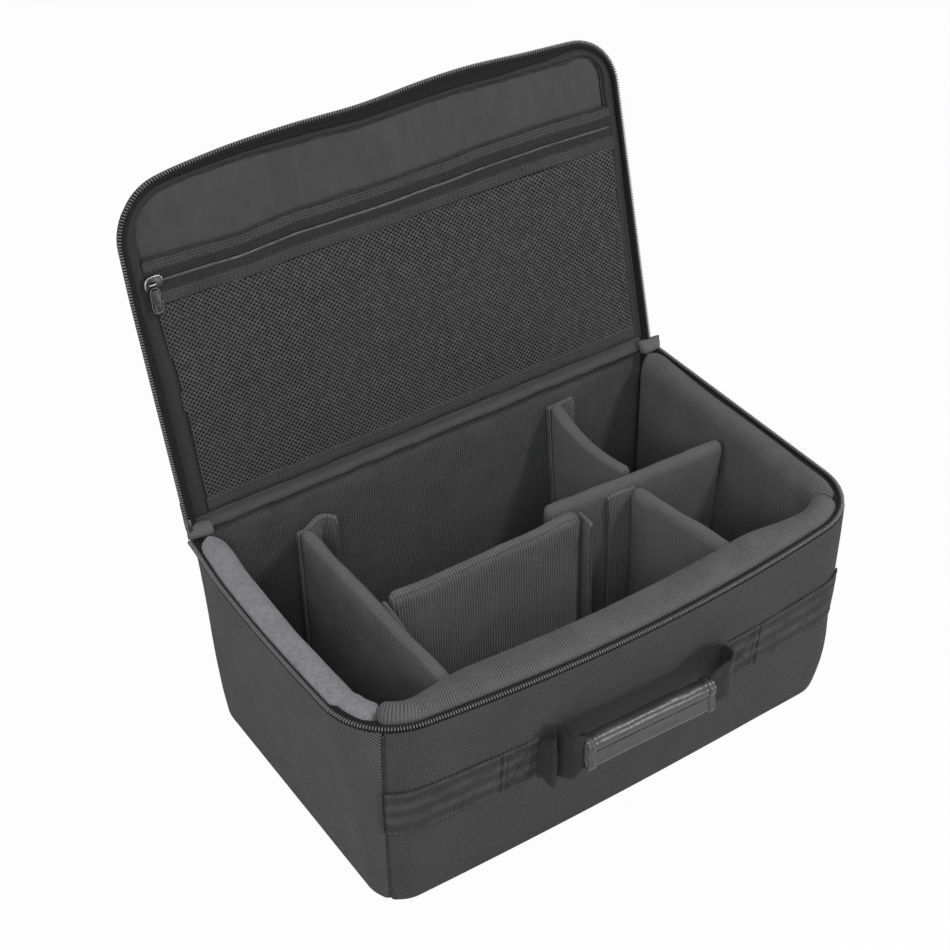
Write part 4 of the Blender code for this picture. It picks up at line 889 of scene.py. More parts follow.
def from_crest(left, right):
    """Distance of each point of a section from the crest, below zero on the left half."""
    far = []
    for side, sign in ((left, -1), (right, 1)):
        run = [0.0]
        for p, q in zip(side[::-1], side[::-1][1:]):
            run.append(run[-1] + sqrt((p[0] - q[0]) ** 2 + (p[1] - q[1]) ** 2))
        far.append([sign * (r + 0.0008) for r in run[::-1]])
    return far[0] + far[1][::-1]


def wall_pad(name, walk, width, low, top, height, place, look, ends, seed, draw_in=0.0):
    """Padded wall through stations; place(part, share, across, z) gives x and y."""
    left, right = section(width, low, top, height, draw=draw_in)
    far = from_crest(left, right)
    far.append(far[-1] + width)
    plane = []
    run = distances([Vector(place(part, s, width / 2, top * 0.9)) for part, s in walk])
    total = run[-1]
    rows = []
    for (part, share), at in zip(walk, run):
        draw = max(end_shrink(at, ends[0]), end_shrink(total - at, ends[1]))
        ring = []
        for across, z in left + right[::-1]:
            depth = mix(across, width / 2, draw)
            lowered = z - 0.35 * height * draw * smooth(z, top - 2 * height, top)
            wave = (0.0007 * rough(at, z, 0, 0.05, seed) + 0.0003 * rough(at, z, 0, 0.015, seed)) * smooth(z, low, top)
            x, y = place(part, share, depth, z)
            ring.append(Vector((x, y, lowered + wave)))
        rows.append(ring)
        plane.append([(at, v) for v in far])
    return surface(name, rows, look, closed=True, ends=True, plane=plane)


def front_bulge(x, z):
    """How far the front pad's top swells towards the middle."""
    along = smooth(x, -0.160, -0.105) * (1 - smooth(x, 0.095, 0.155))
    return 0.0105 * along * smooth(z, 0.08, 0.148)


def pad_place(part, share, across, z):
    back = back_y(z, PAD_INSET + BACK_WIDE + 0.0058)
    x, y = case_point(part, share, z, PAD_INSET + across, back)
    if part.startswith("front"):
        y += front_bulge(x, z) * smooth(across, 0.0, PAD_WIDE) ** 0.7
    if part == "left":
        x += 0.35 * back_corner(x - across, y, z).x + left_bow(x - across, y, z).x
        x -= 0.0026 * smooth(z, 0.1565, 0.1600) * (1 - smooth(across, 0.0, 0.6 * PAD_WIDE))
        x += 0.0012 * rough(0, y, 2.0, 0.03, 5.0) * smooth(across, 0.006, PAD_WIDE) * smooth(z, 0.10, 0.15)
    return x, y


def pad_cap(inner, outer):
    """Limit for how far a wall pad's point may swell: little towards the shell."""
    def limit(co, normal):
        out = Vector((co.x, co.y, 0)).normalized().dot(normal)
        return mix(inner, outer, smooth(out, -0.1, 0.5)) * (0.4 if co.z < 0.02 else 1.0)
    return limit


def make_pads():
    half = 0.5
    front = spans(("front_left", half - 0.02, 1, 8), ("front", 0, 1, 62), ("front_right", 0, half + 0.02, 8))
    left = spans(("left", 0, 1, 40), ("front_left", 0, half + 0.03, 8))
    right = spans(("front_right", half - 0.02, 1, 8), ("right", 0, 1, 40))
    top, height = PAD_TOP, 0.0135
    parts = (
        ("front_wall_pad", front, RIBS, "front_pad", (0.004, 0.004), "front_pad_fabric", 1.0),
        ("left_wall_pad", left, FLEECE, "left_pad", (0.016, 0.004), "left_pad_fabric", 2.0),
        ("right_wall_pad", right, RIBS, "right_pad", (0.004, 0.014), "right_pad_fabric", 3.0),
    )
    for name, walk, look, node, ends, slot, seed in parts:
        rise = 0.003 if name == "front_wall_pad" else 0.0
        obj = wall_pad(name, walk, PAD_WIDE, PAD_LOW, top + rise, height + rise, pad_place, look, ends, seed, 0.0016)
        dress(obj, "case", [node], slot)
        puffed.append((obj, pad_cap(0.0016, 0.0004), 0.9))
    walk = spans(("back_right", 0.40, 1, 8), ("back", 0, 1, 58), ("back_left", 0, 0.60, 8))

    def back_place(part, share, across, z):
        x, outer = case_point(part, share, z, PAD_INSET)
        return x, mix(outer, back_y(z, PAD_INSET + BACK_WIDE), across / BACK_WIDE)

    obj = wall_pad("back_wall_pad", walk, BACK_WIDE, PAD_LOW, BACK_TOP, 0.0095, back_place, BACK_RIBS,
                   (0.004, 0.004), 4.0)
    dress(obj, "case", ["back_pad"], "pad_fabric")
    puffed.append((obj, pad_cap(0.0014, 0.0004), 0.9))
    make_floor_pad()


def make_floor_pad():
    rows, plane = [], []
    clear = PAD_INSET + PAD_WIDE + 0.0006
    for inset, z in ((0.004, 0.0046), (0.0, 0.0075), (0.0, 0.0120), (0.0012, 0.0142), (0.004, 0.0150), (0.012, 0.0152),
                     (0.03, 0.0150), (0.06, 0.0151), (0.085, 0.0150)):
        row = []
        for part, share in whole_walk():
            x, y = case_point(part, share, 0.0046, clear + min(inset, 0.012))
            y = min(y, back_y(0.0046, PAD_INSET + BACK_WIDE + 0.0006) - min(inset, 0.012))
            if inset > 0.012:
                t = 1 - (inset - 0.012) / 0.078
                x, y = x * t, y * t
            row.append(Vector((x, y, z + 0.0003 * rough(x, y, 0, 0.04))))
        rows.append(row)
        plane.append([(p.x, p.y) for p in row])
    obj = surface("floor_lining", rows, BACK_RIBS, closed=True, outward=True, plane=plane)
    bm = bmesh.new()
    bm.from_mesh(obj.data)
    bmesh.ops.holes_fill(bm, edges=[e for e in bm.edges if e.is_boundary], sides=0)
    bm.to_mesh(obj.data)
    bm.free()
    dress(obj, "case", ["floor_pad"], "pad_fabric")


def slab(name, body, nodes, ends_of, thickness, low, top, look, slot, dip=0.0, reach=(0.006, 0.006), seed=0.0,
         swell=0.0009, shape=None, step=0.005, fall=0.0):
    """Padded divider; ends_of(z) gives its two plan ends, or shape(z) a whole plan path."""
    height = thickness * 0.62
    left, right = section(thickness, low, top, height, rows=16, arc=6)
    far = from_crest(left, right)
    far.append(far[-1] + thickness)
    plane = []
    if shape is None:
        a, b = (Vector(p) for p in ends_of(0.08))
        count = max(6, int((b - a).length / step))
        marks = [0.0, 0.15 / count, 0.5 / count] + steps(count - 2, 1 / count, 1 - 1 / count)
        marks += [1 - 0.5 / count, 1 - 0.15 / count, 1.0]
    else:
        marks = steps(22)
    rows = []

    def centre(z, t):
        if shape is None:
            a, b = ends_of(z)
            return Vector((mix(a[0], b[0], t), mix(a[1], b[1], t)))
        path = [Vector(p) for p in shape(z)]
        at = t * (len(path) - 1)
        i = min(int(at), len(path) - 2)
        p0, p1 = path[max(i - 1, 0)], path[i]
        p2, p3 = path[i + 1], path[min(i + 2, len(path) - 1)]
        return spline(p0, p1, p2, p3, at - i)

    length = (centre(0.08, 1.0) - centre(0.08, 0.0)).length
    for t in marks:
        at = t * length
        draw = max(end_shrink(at, reach[0]), end_shrink(length - at, reach[1]))
        ring = []
        for across, z in left + right[::-1]:
            run = centre(z, min(t + 0.01, 1)) - centre(z, max(t - 0.01, 0))
            side = Vector((run.y, -run.x)).normalized()
            off = mix(across - thickness / 2, 0.0, draw)
            sink = dip * sin(pi * t) + 0.006 * draw + 0.0011 * rough(at, 0, seed, 0.03) + 0.0005 * rough(at, 0, seed, 0.009)
            sink = (sink + fall * t ** 1.4) * smooth(z, low, top)
            sway = 0.0006 * rough(at, z, seed, 0.04) * smooth(at, 0, 0.02) * smooth(length - at, 0, 0.02)
            p = centre(z, t) + side * (off + sway)
            ring.append(Vector((p.x, p.y, z - sink)))
        rows.append(ring)
        plane.append([(at, v) for v in far])
    obj = surface(name, rows, look, closed=True, ends=True, plane=plane)
    dress(obj, body, nodes, slot)
    puffed.append((obj, swell, 0.7))
    return obj


def hook(name, body, node, ends_of, seed, thickness=TAB_WIDE, swell=0.0003, **more):
    """Folded tab at a divider's end."""
    slab(name, body, [node], ends_of, thickness, TAB_LOW, TAB_TOP, DIVIDER, "divider_light_fabric",
         reach=(0.002, 0.002), seed=seed, swell=swell, **more)


LONG_X, LONG_BACK = -0.115, 0.078
CROSS_Y, CROSS_END = -0.011, 0.040
RIGHT_X, RIGHT_Y0, RIGHT_Y1 = 0.022, 0.0036, -0.004
BACK_X0, BACK_X1 = 0.092, 0.097
FRONT_X0, FRONT_X1 = 0.085, 0.097


def right_y(x, z):
    end = side_x(z, WALL)
    return mix(RIGHT_Y0, RIGHT_Y1, (x - RIGHT_X) / (end - RIGHT_X))


def liner_y(x, z):
    half = DIV_WIDE / 2
    return max(front_y(x - half, z, WALL), front_y(x + half, z, WALL)) + front_bulge(x, z)


def make_dividers():
    half = DIV_WIDE / 2
    face = SLIDE + TAB_WIDE / 2

    def long_ends(z):
        return (LONG_X, liner_y(LONG_X, z)), (LONG_X, LONG_BACK)

    slab("long_divider", "divider_long", ["divider_long"], long_ends, DIV_WIDE, DIV_LOW, DIV_TOP, DIVIDER,
         "divider_fabric", reach=(0.003, 0.006), seed=1.0)
    tab_y = LONG_BACK + SLIDE + TAB_WIDE / 2
    curl = [(LONG_X - half, tab_y), (LONG_X, tab_y + 0.0004), (LONG_X + half, tab_y + 0.0021),
            (LONG_X + half + 0.007, tab_y + 0.0056), (LONG_X + half + 0.013, tab_y + 0.007),
            (LONG_X + half + 0.018, tab_y + 0.0035), (LONG_X + half + 0.020, tab_y - 0.0021)]
    hook("long_divider_hook", "divider_long", "divider_long_tab", None, 1.5, shape=lambda z: curl)

    tab_x = LONG_X + half + face
    start_x = tab_x + TAB_WIDE / 2 + 0.0003
    slab("left_cross_divider", "divider_cross_left", ["divider_cross_left"],
         lambda z: ((start_x, CROSS_Y), (CROSS_END, CROSS_Y)), DIV_WIDE, DIV_LOW, DIV_TOP, DIVIDER,
         "divider_fabric", reach=(0.004, 0.004), seed=2.0)
    hook("left_cross_front_hook", "divider_cross_left", "divider_cross_left_front_tab",
         lambda z: ((tab_x, CROSS_Y + half), (tab_x, CROSS_Y - half - 0.036)), 2.3, fall=0.018)
    end_x = CROSS_END + 0.0003 + TAB_WIDE / 2
    hook("left_cross_end_hook", "divider_cross_left", "divider_cross_left_end_tab",
         lambda z: ((end_x, CROSS_Y + half), (end_x, CROSS_Y + half - 0.016)), 2.6)

    slant = half * abs((RIGHT_Y0 - RIGHT_Y1) / (BASE_HALF_WIDTH - RIGHT_X))
    slab("right_cross_divider", "divider_cross_right", ["divider_cross_right"],
         lambda z: ((RIGHT_X, RIGHT_Y0), (side_x(z, WALL + slant), RIGHT_Y1)), DIV_WIDE, DIV_LOW, DIV_TOP,
         SOFT_DIVIDER, "divider_fabric", reach=(0.004, 0.003), seed=3.0)
    lap_y = CROSS_Y + half + SLIDE + 0.0013
    hook("right_cross_lap_hook", "divider_cross_right", "divider_cross_right_lap_tab",
         lambda z: ((RIGHT_X, lap_y), (CROSS_END - 0.0003, lap_y)), 3.3, 0.0026, 0.0002)

    def back_face(z, clear):
        return back_y(z, PAD_INSET + BACK_WIDE + SLIDE + clear)

    lean = half * abs((BACK_X1 - BACK_X0) / (BASE_DEPTH - BACK_WIDE))
    slab("back_divider", "divider_back", ["divider_back"],
         lambda z: ((BACK_X0, right_y(BACK_X0, z) + half + face),
                    (BACK_X1, back_face(z, TAB_WIDE + 0.0003 + lean))),
         DIV_WIDE, DIV_LOW, DIV_TOP, SOFT_DIVIDER, "divider_light_fabric", dip=0.006, reach=(0.004, 0.004), seed=4.0)
    hook("back_divider_hook", "divider_back", "divider_back_tab",
         lambda z: ((BACK_X1 - half, back_face(z, TAB_WIDE / 2)),
                    (BACK_X1 - half + 0.024, back_face(z, TAB_WIDE / 2))), 4.4)

    def cross_front(x, z, clear):
        return right_y(x, z) - half - SLIDE - clear

    lean = half * abs((FRONT_X1 - FRONT_X0) / (BASE_DEPTH - PAD_WIDE))
    slab("front_divider", "divider_front", ["divider_front"],
         lambda z: ((FRONT_X0, cross_front(FRONT_X0, z, TAB_WIDE + SLIDE + lean)),
                    (FRONT_X1, liner_y(FRONT_X1, z) + lean)),
         DIV_WIDE, DIV_LOW, DIV_TOP, SOFT_DIVIDER, "divider_fabric", reach=(0.004, 0.003), seed=5.0)
    tab_right = FRONT_X0 + half
    tab_left = tab_right - DIV_WIDE - 0.014
    hook("front_divider_hook", "divider_front", "divider_front_tab",
         lambda z: tuple((x, cross_front(x, z, TAB_WIDE / 2)) for x in (tab_left, tab_right)), 5.5)


def swell_all():
    """Blow the padded pieces up as closed cloth, hold how far each point moves, and keep the result."""
    rests = []
    for obj, cap, fill in puffed:
        rests.append([(v.co.copy(), v.normal.copy()) for v in obj.data.vertices])
        cloth = obj.modifiers.new("cloth", "CLOTH")
        cloth.settings.use_pressure = True
        cloth.settings.uniform_pressure_force = 4
        cloth.settings.effector_weights.gravity = 0
        cloth.collision_settings.use_collision = False
        cloth.point_cache.frame_start = 1
        cloth.point_cache.frame_end = 20
    for number in range(1, 21):
        bpy.context.scene.frame_set(number)
    graph = bpy.context.evaluated_depsgraph_get()
    swollen = [[v.co.copy() for v in obj.evaluated_get(graph).data.vertices] for obj, _, _ in puffed]
    for (obj, cap, fill), rest, moved in zip(puffed, rests, swollen):
        obj.modifiers.clear()
        for vertex, (start, normal), end in zip(obj.data.vertices, rest, moved):
            shift = end - start
            limit = cap(start, normal) if callable(cap) else cap
            if shift.length > limit:
                shift *= limit / shift.length
            vertex.co = start + shift
    bpy.context.scene.frame_set(1)
    for obj, _, fill in puffed:
        finer(obj)


# Zips

TOOTH = [(-0.5, 0.0, 0.12), (0.5, 0.0, 0.12), (0.42, 0.0, 0.9), (-0.42, 0.0, 0.9),
         (-0.5, 0.55, 0.0), (0.5, 0.55, 0.0), (0.46, 0.55, 1.0), (-0.46, 0.55, 1.0),
         (-0.38, 0.92, 0.14), (0.38, 0.92, 0.14), (0.34, 0.92, 0.86), (-0.34, 0.92, 0.86),
         (-0.16, 1.0, 0.34), (0.16, 1.0, 0.34), (0.14, 1.0, 0.66), (-0.14, 1.0, 0.66)]
TOOTH_FACES = [[0, 1, 2, 3], [15, 14, 13, 12]]
for base in (0, 4, 8):
    for k in range(4):
        j = (k + 1) % 4
        TOOTH_FACES.append([base + k, base + 4 + k, base + 4 + j, base + j])


def teeth(batch, path, outward, up, pitch, width, reach, height):
    """Coil loops along a path: each stands on the tape and bows outwards."""
    for place, run in along_path(path, pitch, pitch / 2):
        out = outward(place, run)
        top = up(place)
        out = (out - top * out.dot(top)).normalized()
        side = top.cross(out)
        points = [place + side * (x * width) + out * (y * reach) + top * (z * height) for x, y, z in TOOTH]
        batch.add(points, TOOTH_FACES)


ZIP_END = 0.098


def rim_walk():
    return spans(("left", 0, 1, 50), ("front_left", 0, 1, 16), ("front", 0, 1, 90), ("front_right", 0, 1, 16),
                 ("right", 0, 1, 50))


TEETH = {"width": 0.00082, "reach": 0.0024, "height": 0.0018}


def make_case_zip():
    low = 0.1573

    def rim(part, share, inset, z):
        x, y = case_point(part, share, CASE_HEIGHT, inset, ZIP_END)
        return Vector((x, y, z)) + 0.35 * back_corner(x, y, CASE_HEIGHT) + left_bow(x, y, CASE_HEIGHT)

    rows = []
    for part, share in rim_walk():
        rows.append([rim(part, share, 0.0006, low), rim(part, share, 0.0003, low + 0.0005),
                     rim(part, share, 0.0006, low + 0.0009), rim(part, share, 0.0040, low + 0.0010),
                     rim(part, share, 0.0072, low + 0.0016), rim(part, share, 0.0074, low + 0.0008),
                     rim(part, share, 0.0040, low + 0.0001)])
    obj = surface("rim_tape", rows, TAPE, closed=True, ends=True, outward=False)
    dress(obj, "case", ["case_zip_tape"], "zip_black")
    batch = Batch()
    path = [rim(part, share, 0.0026, 0.1584) for part, share in rim_walk()]
    teeth(batch, path, lambda p, run: Vector((run.y, -run.x, 0)), lambda p: Vector((0, 0, 1)), 0.00175, **TEETH)
    obj = batch.make("rim_coil", COIL)
    dress(obj, "case", ["case_zip_teeth"], "zip_black")
    cord = Batch()
    cord.add(*tube_points([rim(part, share, 0.0032, 0.1592) for part, share in rim_walk()], 0.0008, 6))
    cord.add(*tube_points([rim(part, share, 0.0013, 0.1592) for part, share in rim_walk()], 0.0005, 6))
    dress(cord.make("rim_coil_cord", TAPE), "case", slot="zip_black")


def make_lid_zip():
    walk = spans(("left", 0, 1, 56), ("front_left", 0, 1, 18), ("front", 0, 1, 96), ("front_right", 0, 1, 18),
                 ("right", 0, 1, 56))

    def at(part, share, offset, b, start):
        x, a = lid_point(part, share, offset, start)
        return lid_place(x, a, b)

    rows = []
    for part, share in walk:
        wave = 0.0003 * rough(*at(part, share, 0, 0, 0.0098), 0.02)
        end = frame_width(part, share, 2) + 0.0016
        middle = mix(0.0030, end, 0.5)
        ring = []
        for offset, b in ((0.0016, 0.0010), (0.0030, 0.0008), (middle, 0.0015 + wave), (end, 0.0030),
                          (end, 0.0040), (middle, 0.0026 + wave), (0.0030, 0.0017), (0.0016, 0.0019)):
            ring.append(at(part, share, offset, b, 0.0064))
        rows.append(ring)
    obj = surface("lid_tape", rows, TAPE, closed=True, ends=True, outward=True)
    dress(obj, "lid", ["lid_zip_tape"], "zip_black")
    batch = Batch()
    path = [at(part, share, 0.0024, 0.00250, 0.0070) for part, share in walk]
    depth = lid_place(0, 0, 1) - lid_place(0, 0, 0)
    teeth(batch, path, lambda p, run: run.cross(depth), lambda p: -depth, 0.00184, **TEETH)
    obj = batch.make("lid_coil", COIL)
    dress(obj, "lid", ["lid_zip_teeth"], "zip_black")
    cord = Batch()
    cord.add(*tube_points([at(part, share, 0.0036, 0.0008, 0.0070) for part, share in walk], 0.0006, 6))
    cord.add(*tube_points([at(part, share, 0.0018, 0.0022, 0.0070) for part, share in walk], 0.0006, 6))
    dress(cord.make("lid_coil_cord", TAPE), "lid", slot="zip_black")


def make_zip_ends():
    """Folded fabric over both ends of the zip."""
    for name, node, x, y in (("left_zip_end", "zip_tab_left", -0.1768, 0.0966),
                             ("right_zip_end", "zip_tab_right", 0.1826, 0.0960)):
        side = -1 if x < 0 else 1
        rows = []
        for t in steps(12, -1, 1):
            half_y = 0.0058 * (1 - 0.25 * t * side) * sqrt(max(0.05, 1 - abs(t) ** 6))
            ring = []
            for k in range(14):
                turn = 2 * pi * k / 14
                c, s = cos(turn), sin(turn)
                yy = abs(c) ** 0.75 * (1 if c > 0 else -1) * half_y
                zz = abs(s) ** 0.75 * (1 if s > 0 else -1) * 0.0032 * (1 + 0.16 * t * side)
                fold = 0.0026 * max(0.0, s) * (1 - abs(yy - 0.0012 + 0.002 * t) / 0.0065)
                ring.append(Vector((x + t * 0.0086, y + 0.0046 + yy, 0.1614 + zz + fold)))
            rows.append(ring)
        obj = surface(name, rows, TAB, closed=True, ends=True)
        dress(obj, "case", [node], "tab_fabric")


# Lid


def lid_rings(name, edge, look, rings, centre, bump, walk=None, outward=True):
    """Sheet closed over the lid: edge gives (offset, start, b) rows, then rings shrink to the centre.

    An offset below zero is measured inwards from the inner edge of the binding instead.
    """
    walk = walk or lid_walk()
    closing = [("low", s) for s in steps(60)[1:-1]]
    rows, plane = [], []
    flat_rows = []
    for offset, start, b in edge:
        row = []
        for part, share in walk:
            inset = offset if offset > 0 else frame_width(part, share) - offset - 0.003
            x, a = lid_point(part, share, inset, start)
            row.append((x, a, b))
        right = row[-1]
        left = row[0]
        for _, s in closing:
            row.append((mix(right[0], left[0], s), right[1], b))
        flat_rows.append(row)
    last = flat_rows[-1]
    for t in rings:
        row = []
        for x, a, b in last:
            row.append((mix(x, centre[0], t), mix(a, centre[1], t), b))
        flat_rows.append(row)
    for i, row in enumerate(flat_rows):
        inner = max(0, i - len(edge) + 1)
        out = []
        for x, a, b in row:
            out.append(lid_place(x, a, b + bump(x, a, i, inner)))
        rows.append(out)
        plane.append([(x, a) for x, a, b in row])
    obj = surface(name, rows, look, closed=True, outward=outward, plane=plane)
    bm = bmesh.new()
    bm.from_mesh(obj.data)
    holes = [e for e in bm.edges if e.is_boundary]
    inner_loop = [e for e in holes if all((v.co - lid_place(centre[0], centre[1], 0.005)).length < 0.05 for v in e.verts)]
    made = bmesh.ops.contextual_create(bm, geom=inner_loop)
    layer = bm.loops.layers.uv.active
    for face in made["faces"]:
        for loop in face.loops:
            co = loop.vert.co
            loop[layer].uv = (co.x, (co.z - HINGE_Z) / sin(LID_ANGLE))
        face.smooth = True
    bm.to_mesh(obj.data)
    bm.free()
    return obj


def make_lid():
    slope = []
    for share in steps(8):
        run = sin(pi / 2 * share)
        depth = mix(0.0060, 0.0156, sin(pi / 2 * share))
        slope.append((0.0015 + 0.012 * (share ** 1.6), LID_START + 0.013 * run ** 1.2 * 0.9, depth))

    def crown(x, a, i, inner):
        edge = min(LID_HALF - abs(x), LID_LENGTH - a, a - LID_START) / 0.03
        soft = smooth(edge, 0.3, 1.4)
        return soft * (0.0008 + 0.0007 * rough(x, a, 0, 0.05, 7) + 0.0002 * rough(x, a, 0, 0.015, 8)) - (
            0.0005 * (1 - smooth(abs(edge - 0.42), 0.0, 0.06)))

    obj = lid_rings("lid_shell", slope, SHELL, (0.03, 0.07, 0.12, 0.2, 0.3, 0.42, 0.55, 0.7, 0.85), (0.0, 0.12), crown,
                    outward=True)
    thicken(obj, 0.0011)
    dress(obj, "lid", ["lid_cover", "lid_foam"], "shell_fabric")

    def gather(x, a, i, inner):
        side = FRAME_LEFT if x < 0 else FRAME_RIGHT
        beside = LID_HALF - abs(x) - read(side, a)
        above = LID_LENGTH + LID_BULGE * (1 - (x / LID_HALF) ** 2) - a - read(FRAME_TOP, x)
        near = 1 - smooth(min(above, beside), 0.002, 0.016)
        along = x if above < beside else a
        pull = (0.0010 * rough(along, 0, 0, 0.006, 11) + 0.0007 * rough(along, 0, 0, 0.016, 13)) * near
        creases = 0.0005 * rough(x, a * 0.12, 0, 0.012, 14) * (1 - smooth(above, 0.0, 0.05))
        return pull + creases + 0.0009 * rough(x, a, 0, 0.06, 12) - 0.0010 * smooth(min(above, beside), 0.001, 0.012)

    edge = [(-0.0001, 0.0131, 0.0062), (-0.0030, 0.0135, 0.0064), (-0.0042, 0.0138, 0.0062), (-0.0060, 0.0142, 0.0060),
            (-0.0085, 0.0150, 0.0060)]
    obj = lid_rings("lid_lining_sheet", edge, LINING, (0.02, 0.045, 0.08, 0.13, 0.2, 0.3, 0.42, 0.55, 0.7, 0.85),
                    (0.0, 0.12), gather, lid_walk(60, 24, 150), outward=False)
    thicken(obj, 0.0007)
    dress(obj, "lid", ["lid_lining"], "lining_fabric")

    rows = []
    crease_shade_path = []
    for part, share in lid_walk(60, 20, 130):
        inner, outer = frame_width(part, share), frame_width(part, share, 2)
        x0, a0 = lid_point(part, share, 0.0125, LID_START)
        wave = 0.0004 * rough(x0, a0, 0, 0.007, 21) + 0.0005 * rough(x0, a0, 0, 0.03, 22)
        wide = smooth(inner - outer, 0.005, 0.010)
        ring = []
        for t in steps(9):
            x, a = lid_point(part, share, mix(outer - 0.0005, inner + 0.0003 + wave, t), LID_START)
            bow = 0.0013 * sin(pi * t) ** 0.6 - 0.0004 * wide * cos(4 * pi * t) + 0.0003 * rough(x, a, 0, 0.012, 23)
            ring.append(lid_place(x, a, 0.0044 - bow))
        for t in (1.0, 0.6, 0.3, 0.0):
            x, a = lid_point(part, share, mix(outer, inner, t), LID_START)
            ring.append(lid_place(x, a, 0.0054))
        rows.append(ring)
        x, a = lid_point(part, share, inner + 0.0009 + wave, LID_START)
        crease_shade_path.append(lid_place(x, a, 0.0052 + 0.0004 * rough(x, a, 0, 0.01, 24)))
    obj = surface("lid_binding_roll", rows, BINDING, closed=True, ends=True, outward=False)
    dress(obj, "lid", ["lid_binding"], "binding_fabric")
    # Painted shade: a thin black tube along the binding's inner edge stands in for the shadow in the crease between
    # binding and lining.
    seam = Batch()
    seam.add(*tube_points(crease_shade_path, 0.0008, 6, 0.8, Vector((0, -1, 0))))
    dress(seam.make("lid_binding_seam", THREAD), "lid", slot="binding_fabric")


def make_hinge():
    """Fabric from the back of the box up to the lid, folded where it bends."""
    path = [(0.1226, 0.1574), (0.1170, 0.1583), (0.1105, 0.1592), (0.1052, 0.1599), (0.1026, 0.1609)]
    for a, b in ((0.0020, 0.0054), (0.0045, 0.0058), (0.0070, 0.0054), (0.0092, 0.0047), (0.0112, 0.0058),
                 (0.0140, 0.0082)):
        p = lid_place(0, a, b)
        path.append((p.y, p.z))
    rows = []
    for x in steps(120, -0.1822, 0.1826):
        row = []
        narrow = smooth(abs(x), 0.160, 0.178)
        for i, (y, z) in enumerate(path):
            free = sin(pi * i / (len(path) - 1))
            if i < 5:
                y = mix(y, 0.1020 + 0.0010 * (4 - i), narrow)
            row.append(Vector((x, y + 0.0006 * free * rough(x, i, 0, 0.012, 31), z + 0.0004 * free * rough(x, i, 9, 0.02))))
        rows.append(row)
    obj = surface("hinge_cloth", rows, HINGE)
    thicken(obj, 0.0008)
    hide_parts("hinge_strip")
    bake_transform(obj)


def pocket_ends(a):
    """Where the binding ends the pocket at a height along the lid."""
    return read(FRAME_LEFT, a) - LID_HALF - 0.0012, LID_HALF - read(FRAME_RIGHT, a) + 0.0012


def pocket_wave(x, a):
    """How far the zip's line strays from straight."""
    return read(POCKET_WAVE, x) * clamp((a - 0.135) / 0.045) + 0.0004 * rough(x, 0, 2.5, 0.03)


def pocket_strip(name, node, low, high, b, look, thickness=0.0012, seed=0.0, roll=0.0003):
    """Flat tape across the lid's pocket, slightly wavy, with rolled edges; its UV v is the height."""
    first, last = pocket_ends((low + high) / 2)
    rows, plane = [], []
    for x in steps(170, first, last):
        lift = 0.0005 * rough(x, 0, seed + 4, 0.03) + 0.0002 * rough(x, 0, seed + 4, 0.008)
        ring, flat = [], []
        for k in range(18):
            front = k < 9
            t = k / 8 if front else (17 - k) / 8
            a = mix(low, high, t)
            edge = 4 * (t - 0.5) ** 2
            depth = b + lift + (roll * edge + 0.0002 * rough(x, a, seed, 0.006) if front else thickness)
            ring.append(lid_place(x, a + pocket_wave(x, a) + 0.0003 * rough(x, a, seed, 0.012), depth))
            flat.append((x, a))
        rows.append(ring)
        plane.append(flat)
    obj = surface(name, rows, look, closed=True, ends=True, outward=False, plane=plane)
    dress(obj, "lid", [node] if node else [], "pocket_tape")
    return obj


def make_pocket():
    out = lid_place(0, 0, -1) - lid_place(0, 0, 0)
    pocket_strip("pocket_hem", "pocket_bottom_tape", 0.0100, 0.0198, 0.0026, POCKET_TAPE, 0.0014, 1.0)
    pocket_strip("pocket_lower_band", "pocket_lower_tape", 0.1512, 0.1652, 0.0025, POCKET_TAPE, 0.0014, 2.0)
    top = pocket_strip("pocket_upper_band", "pocket_top_tape", 0.1672, 0.1802, 0.0024, POCKET_TAPE, 0.0016, 3.0)
    dark, light = Batch(), Batch()

    def along(a, b, count=110):
        first, last = pocket_ends(a)
        return [lid_place(x, a + pocket_wave(x, a), b) for x in steps(count, first + 0.001, last - 0.001)]

    for a in (0.0118, 0.1600, 0.1735, 0.1806):
        dark.add(*tube_points(along(a, 0.0026 if a < 0.18 else 0.0030), 0.00042, 6, 0.7, out))
    for a in (0.0150, 0.0180, 0.1532, 0.1555, 0.1578, 0.1748, 0.1768, 0.1788):
        stitches(light, along(a, 0.0025), out, 0.0016, 0.0014, 0.00028)
    dress(dark.make("pocket_seams", THREAD), "lid", slot="pocket_tape")
    dress(light.make("pocket_stitches", WORN_THREAD), "lid", slot="pocket_tape")
    middle = 0.1662
    coil = Batch()
    first, last = pocket_ends(middle)
    count = 290
    for i in range(count):
        x = mix(first + 0.001, last - 0.001, i / (count - 1))
        a = middle + pocket_wave(x, middle)
        for side in (-1, 1):
            shift = 0.0003 * side
            points = [lid_place(x + shift + dx * 0.00036, a + side * (0.0003 + da * 0.0008), 0.0031 + db)
                      for dx, da, db in ((-1, 0, 0.0002), (1, 0, 0.0002), (1, 0.5, -0.0005), (1, 1, 0.0002), (-1, 1, 0.0002),
                                         (-1, 0.5, -0.0005))]
            faces = [[0, 1, 2, 5], [5, 2, 3, 4]]
            coil.add(points, faces if side > 0 else [f[::-1] for f in faces])
    coil.add(*tube_points(along(middle, 0.0038), 0.0024, 6, 0.25, out))
    obj = coil.make("pocket_coil", DARK_COIL)
    dress(obj, "lid", ["pocket_zip_teeth"], "zip_black")
    edge = Batch()
    edge.add(*tube_points(along(middle + 0.0008, 0.0029), 0.00018, 6, 1.0, out))
    dress(edge.make("pocket_coil_edge", RIM_METAL), "lid", slot="zip_black")
    make_net()


def net_bow(x, a):
    """How far the slack net stands off its plane."""
    up = (a - 0.020) / 0.137
    return 0.0008 * sin(pi * clamp(up)) * rough(x, a, 0, 0.05, 41) + 0.0003 * rough(x, a, 0, 0.015, 42)


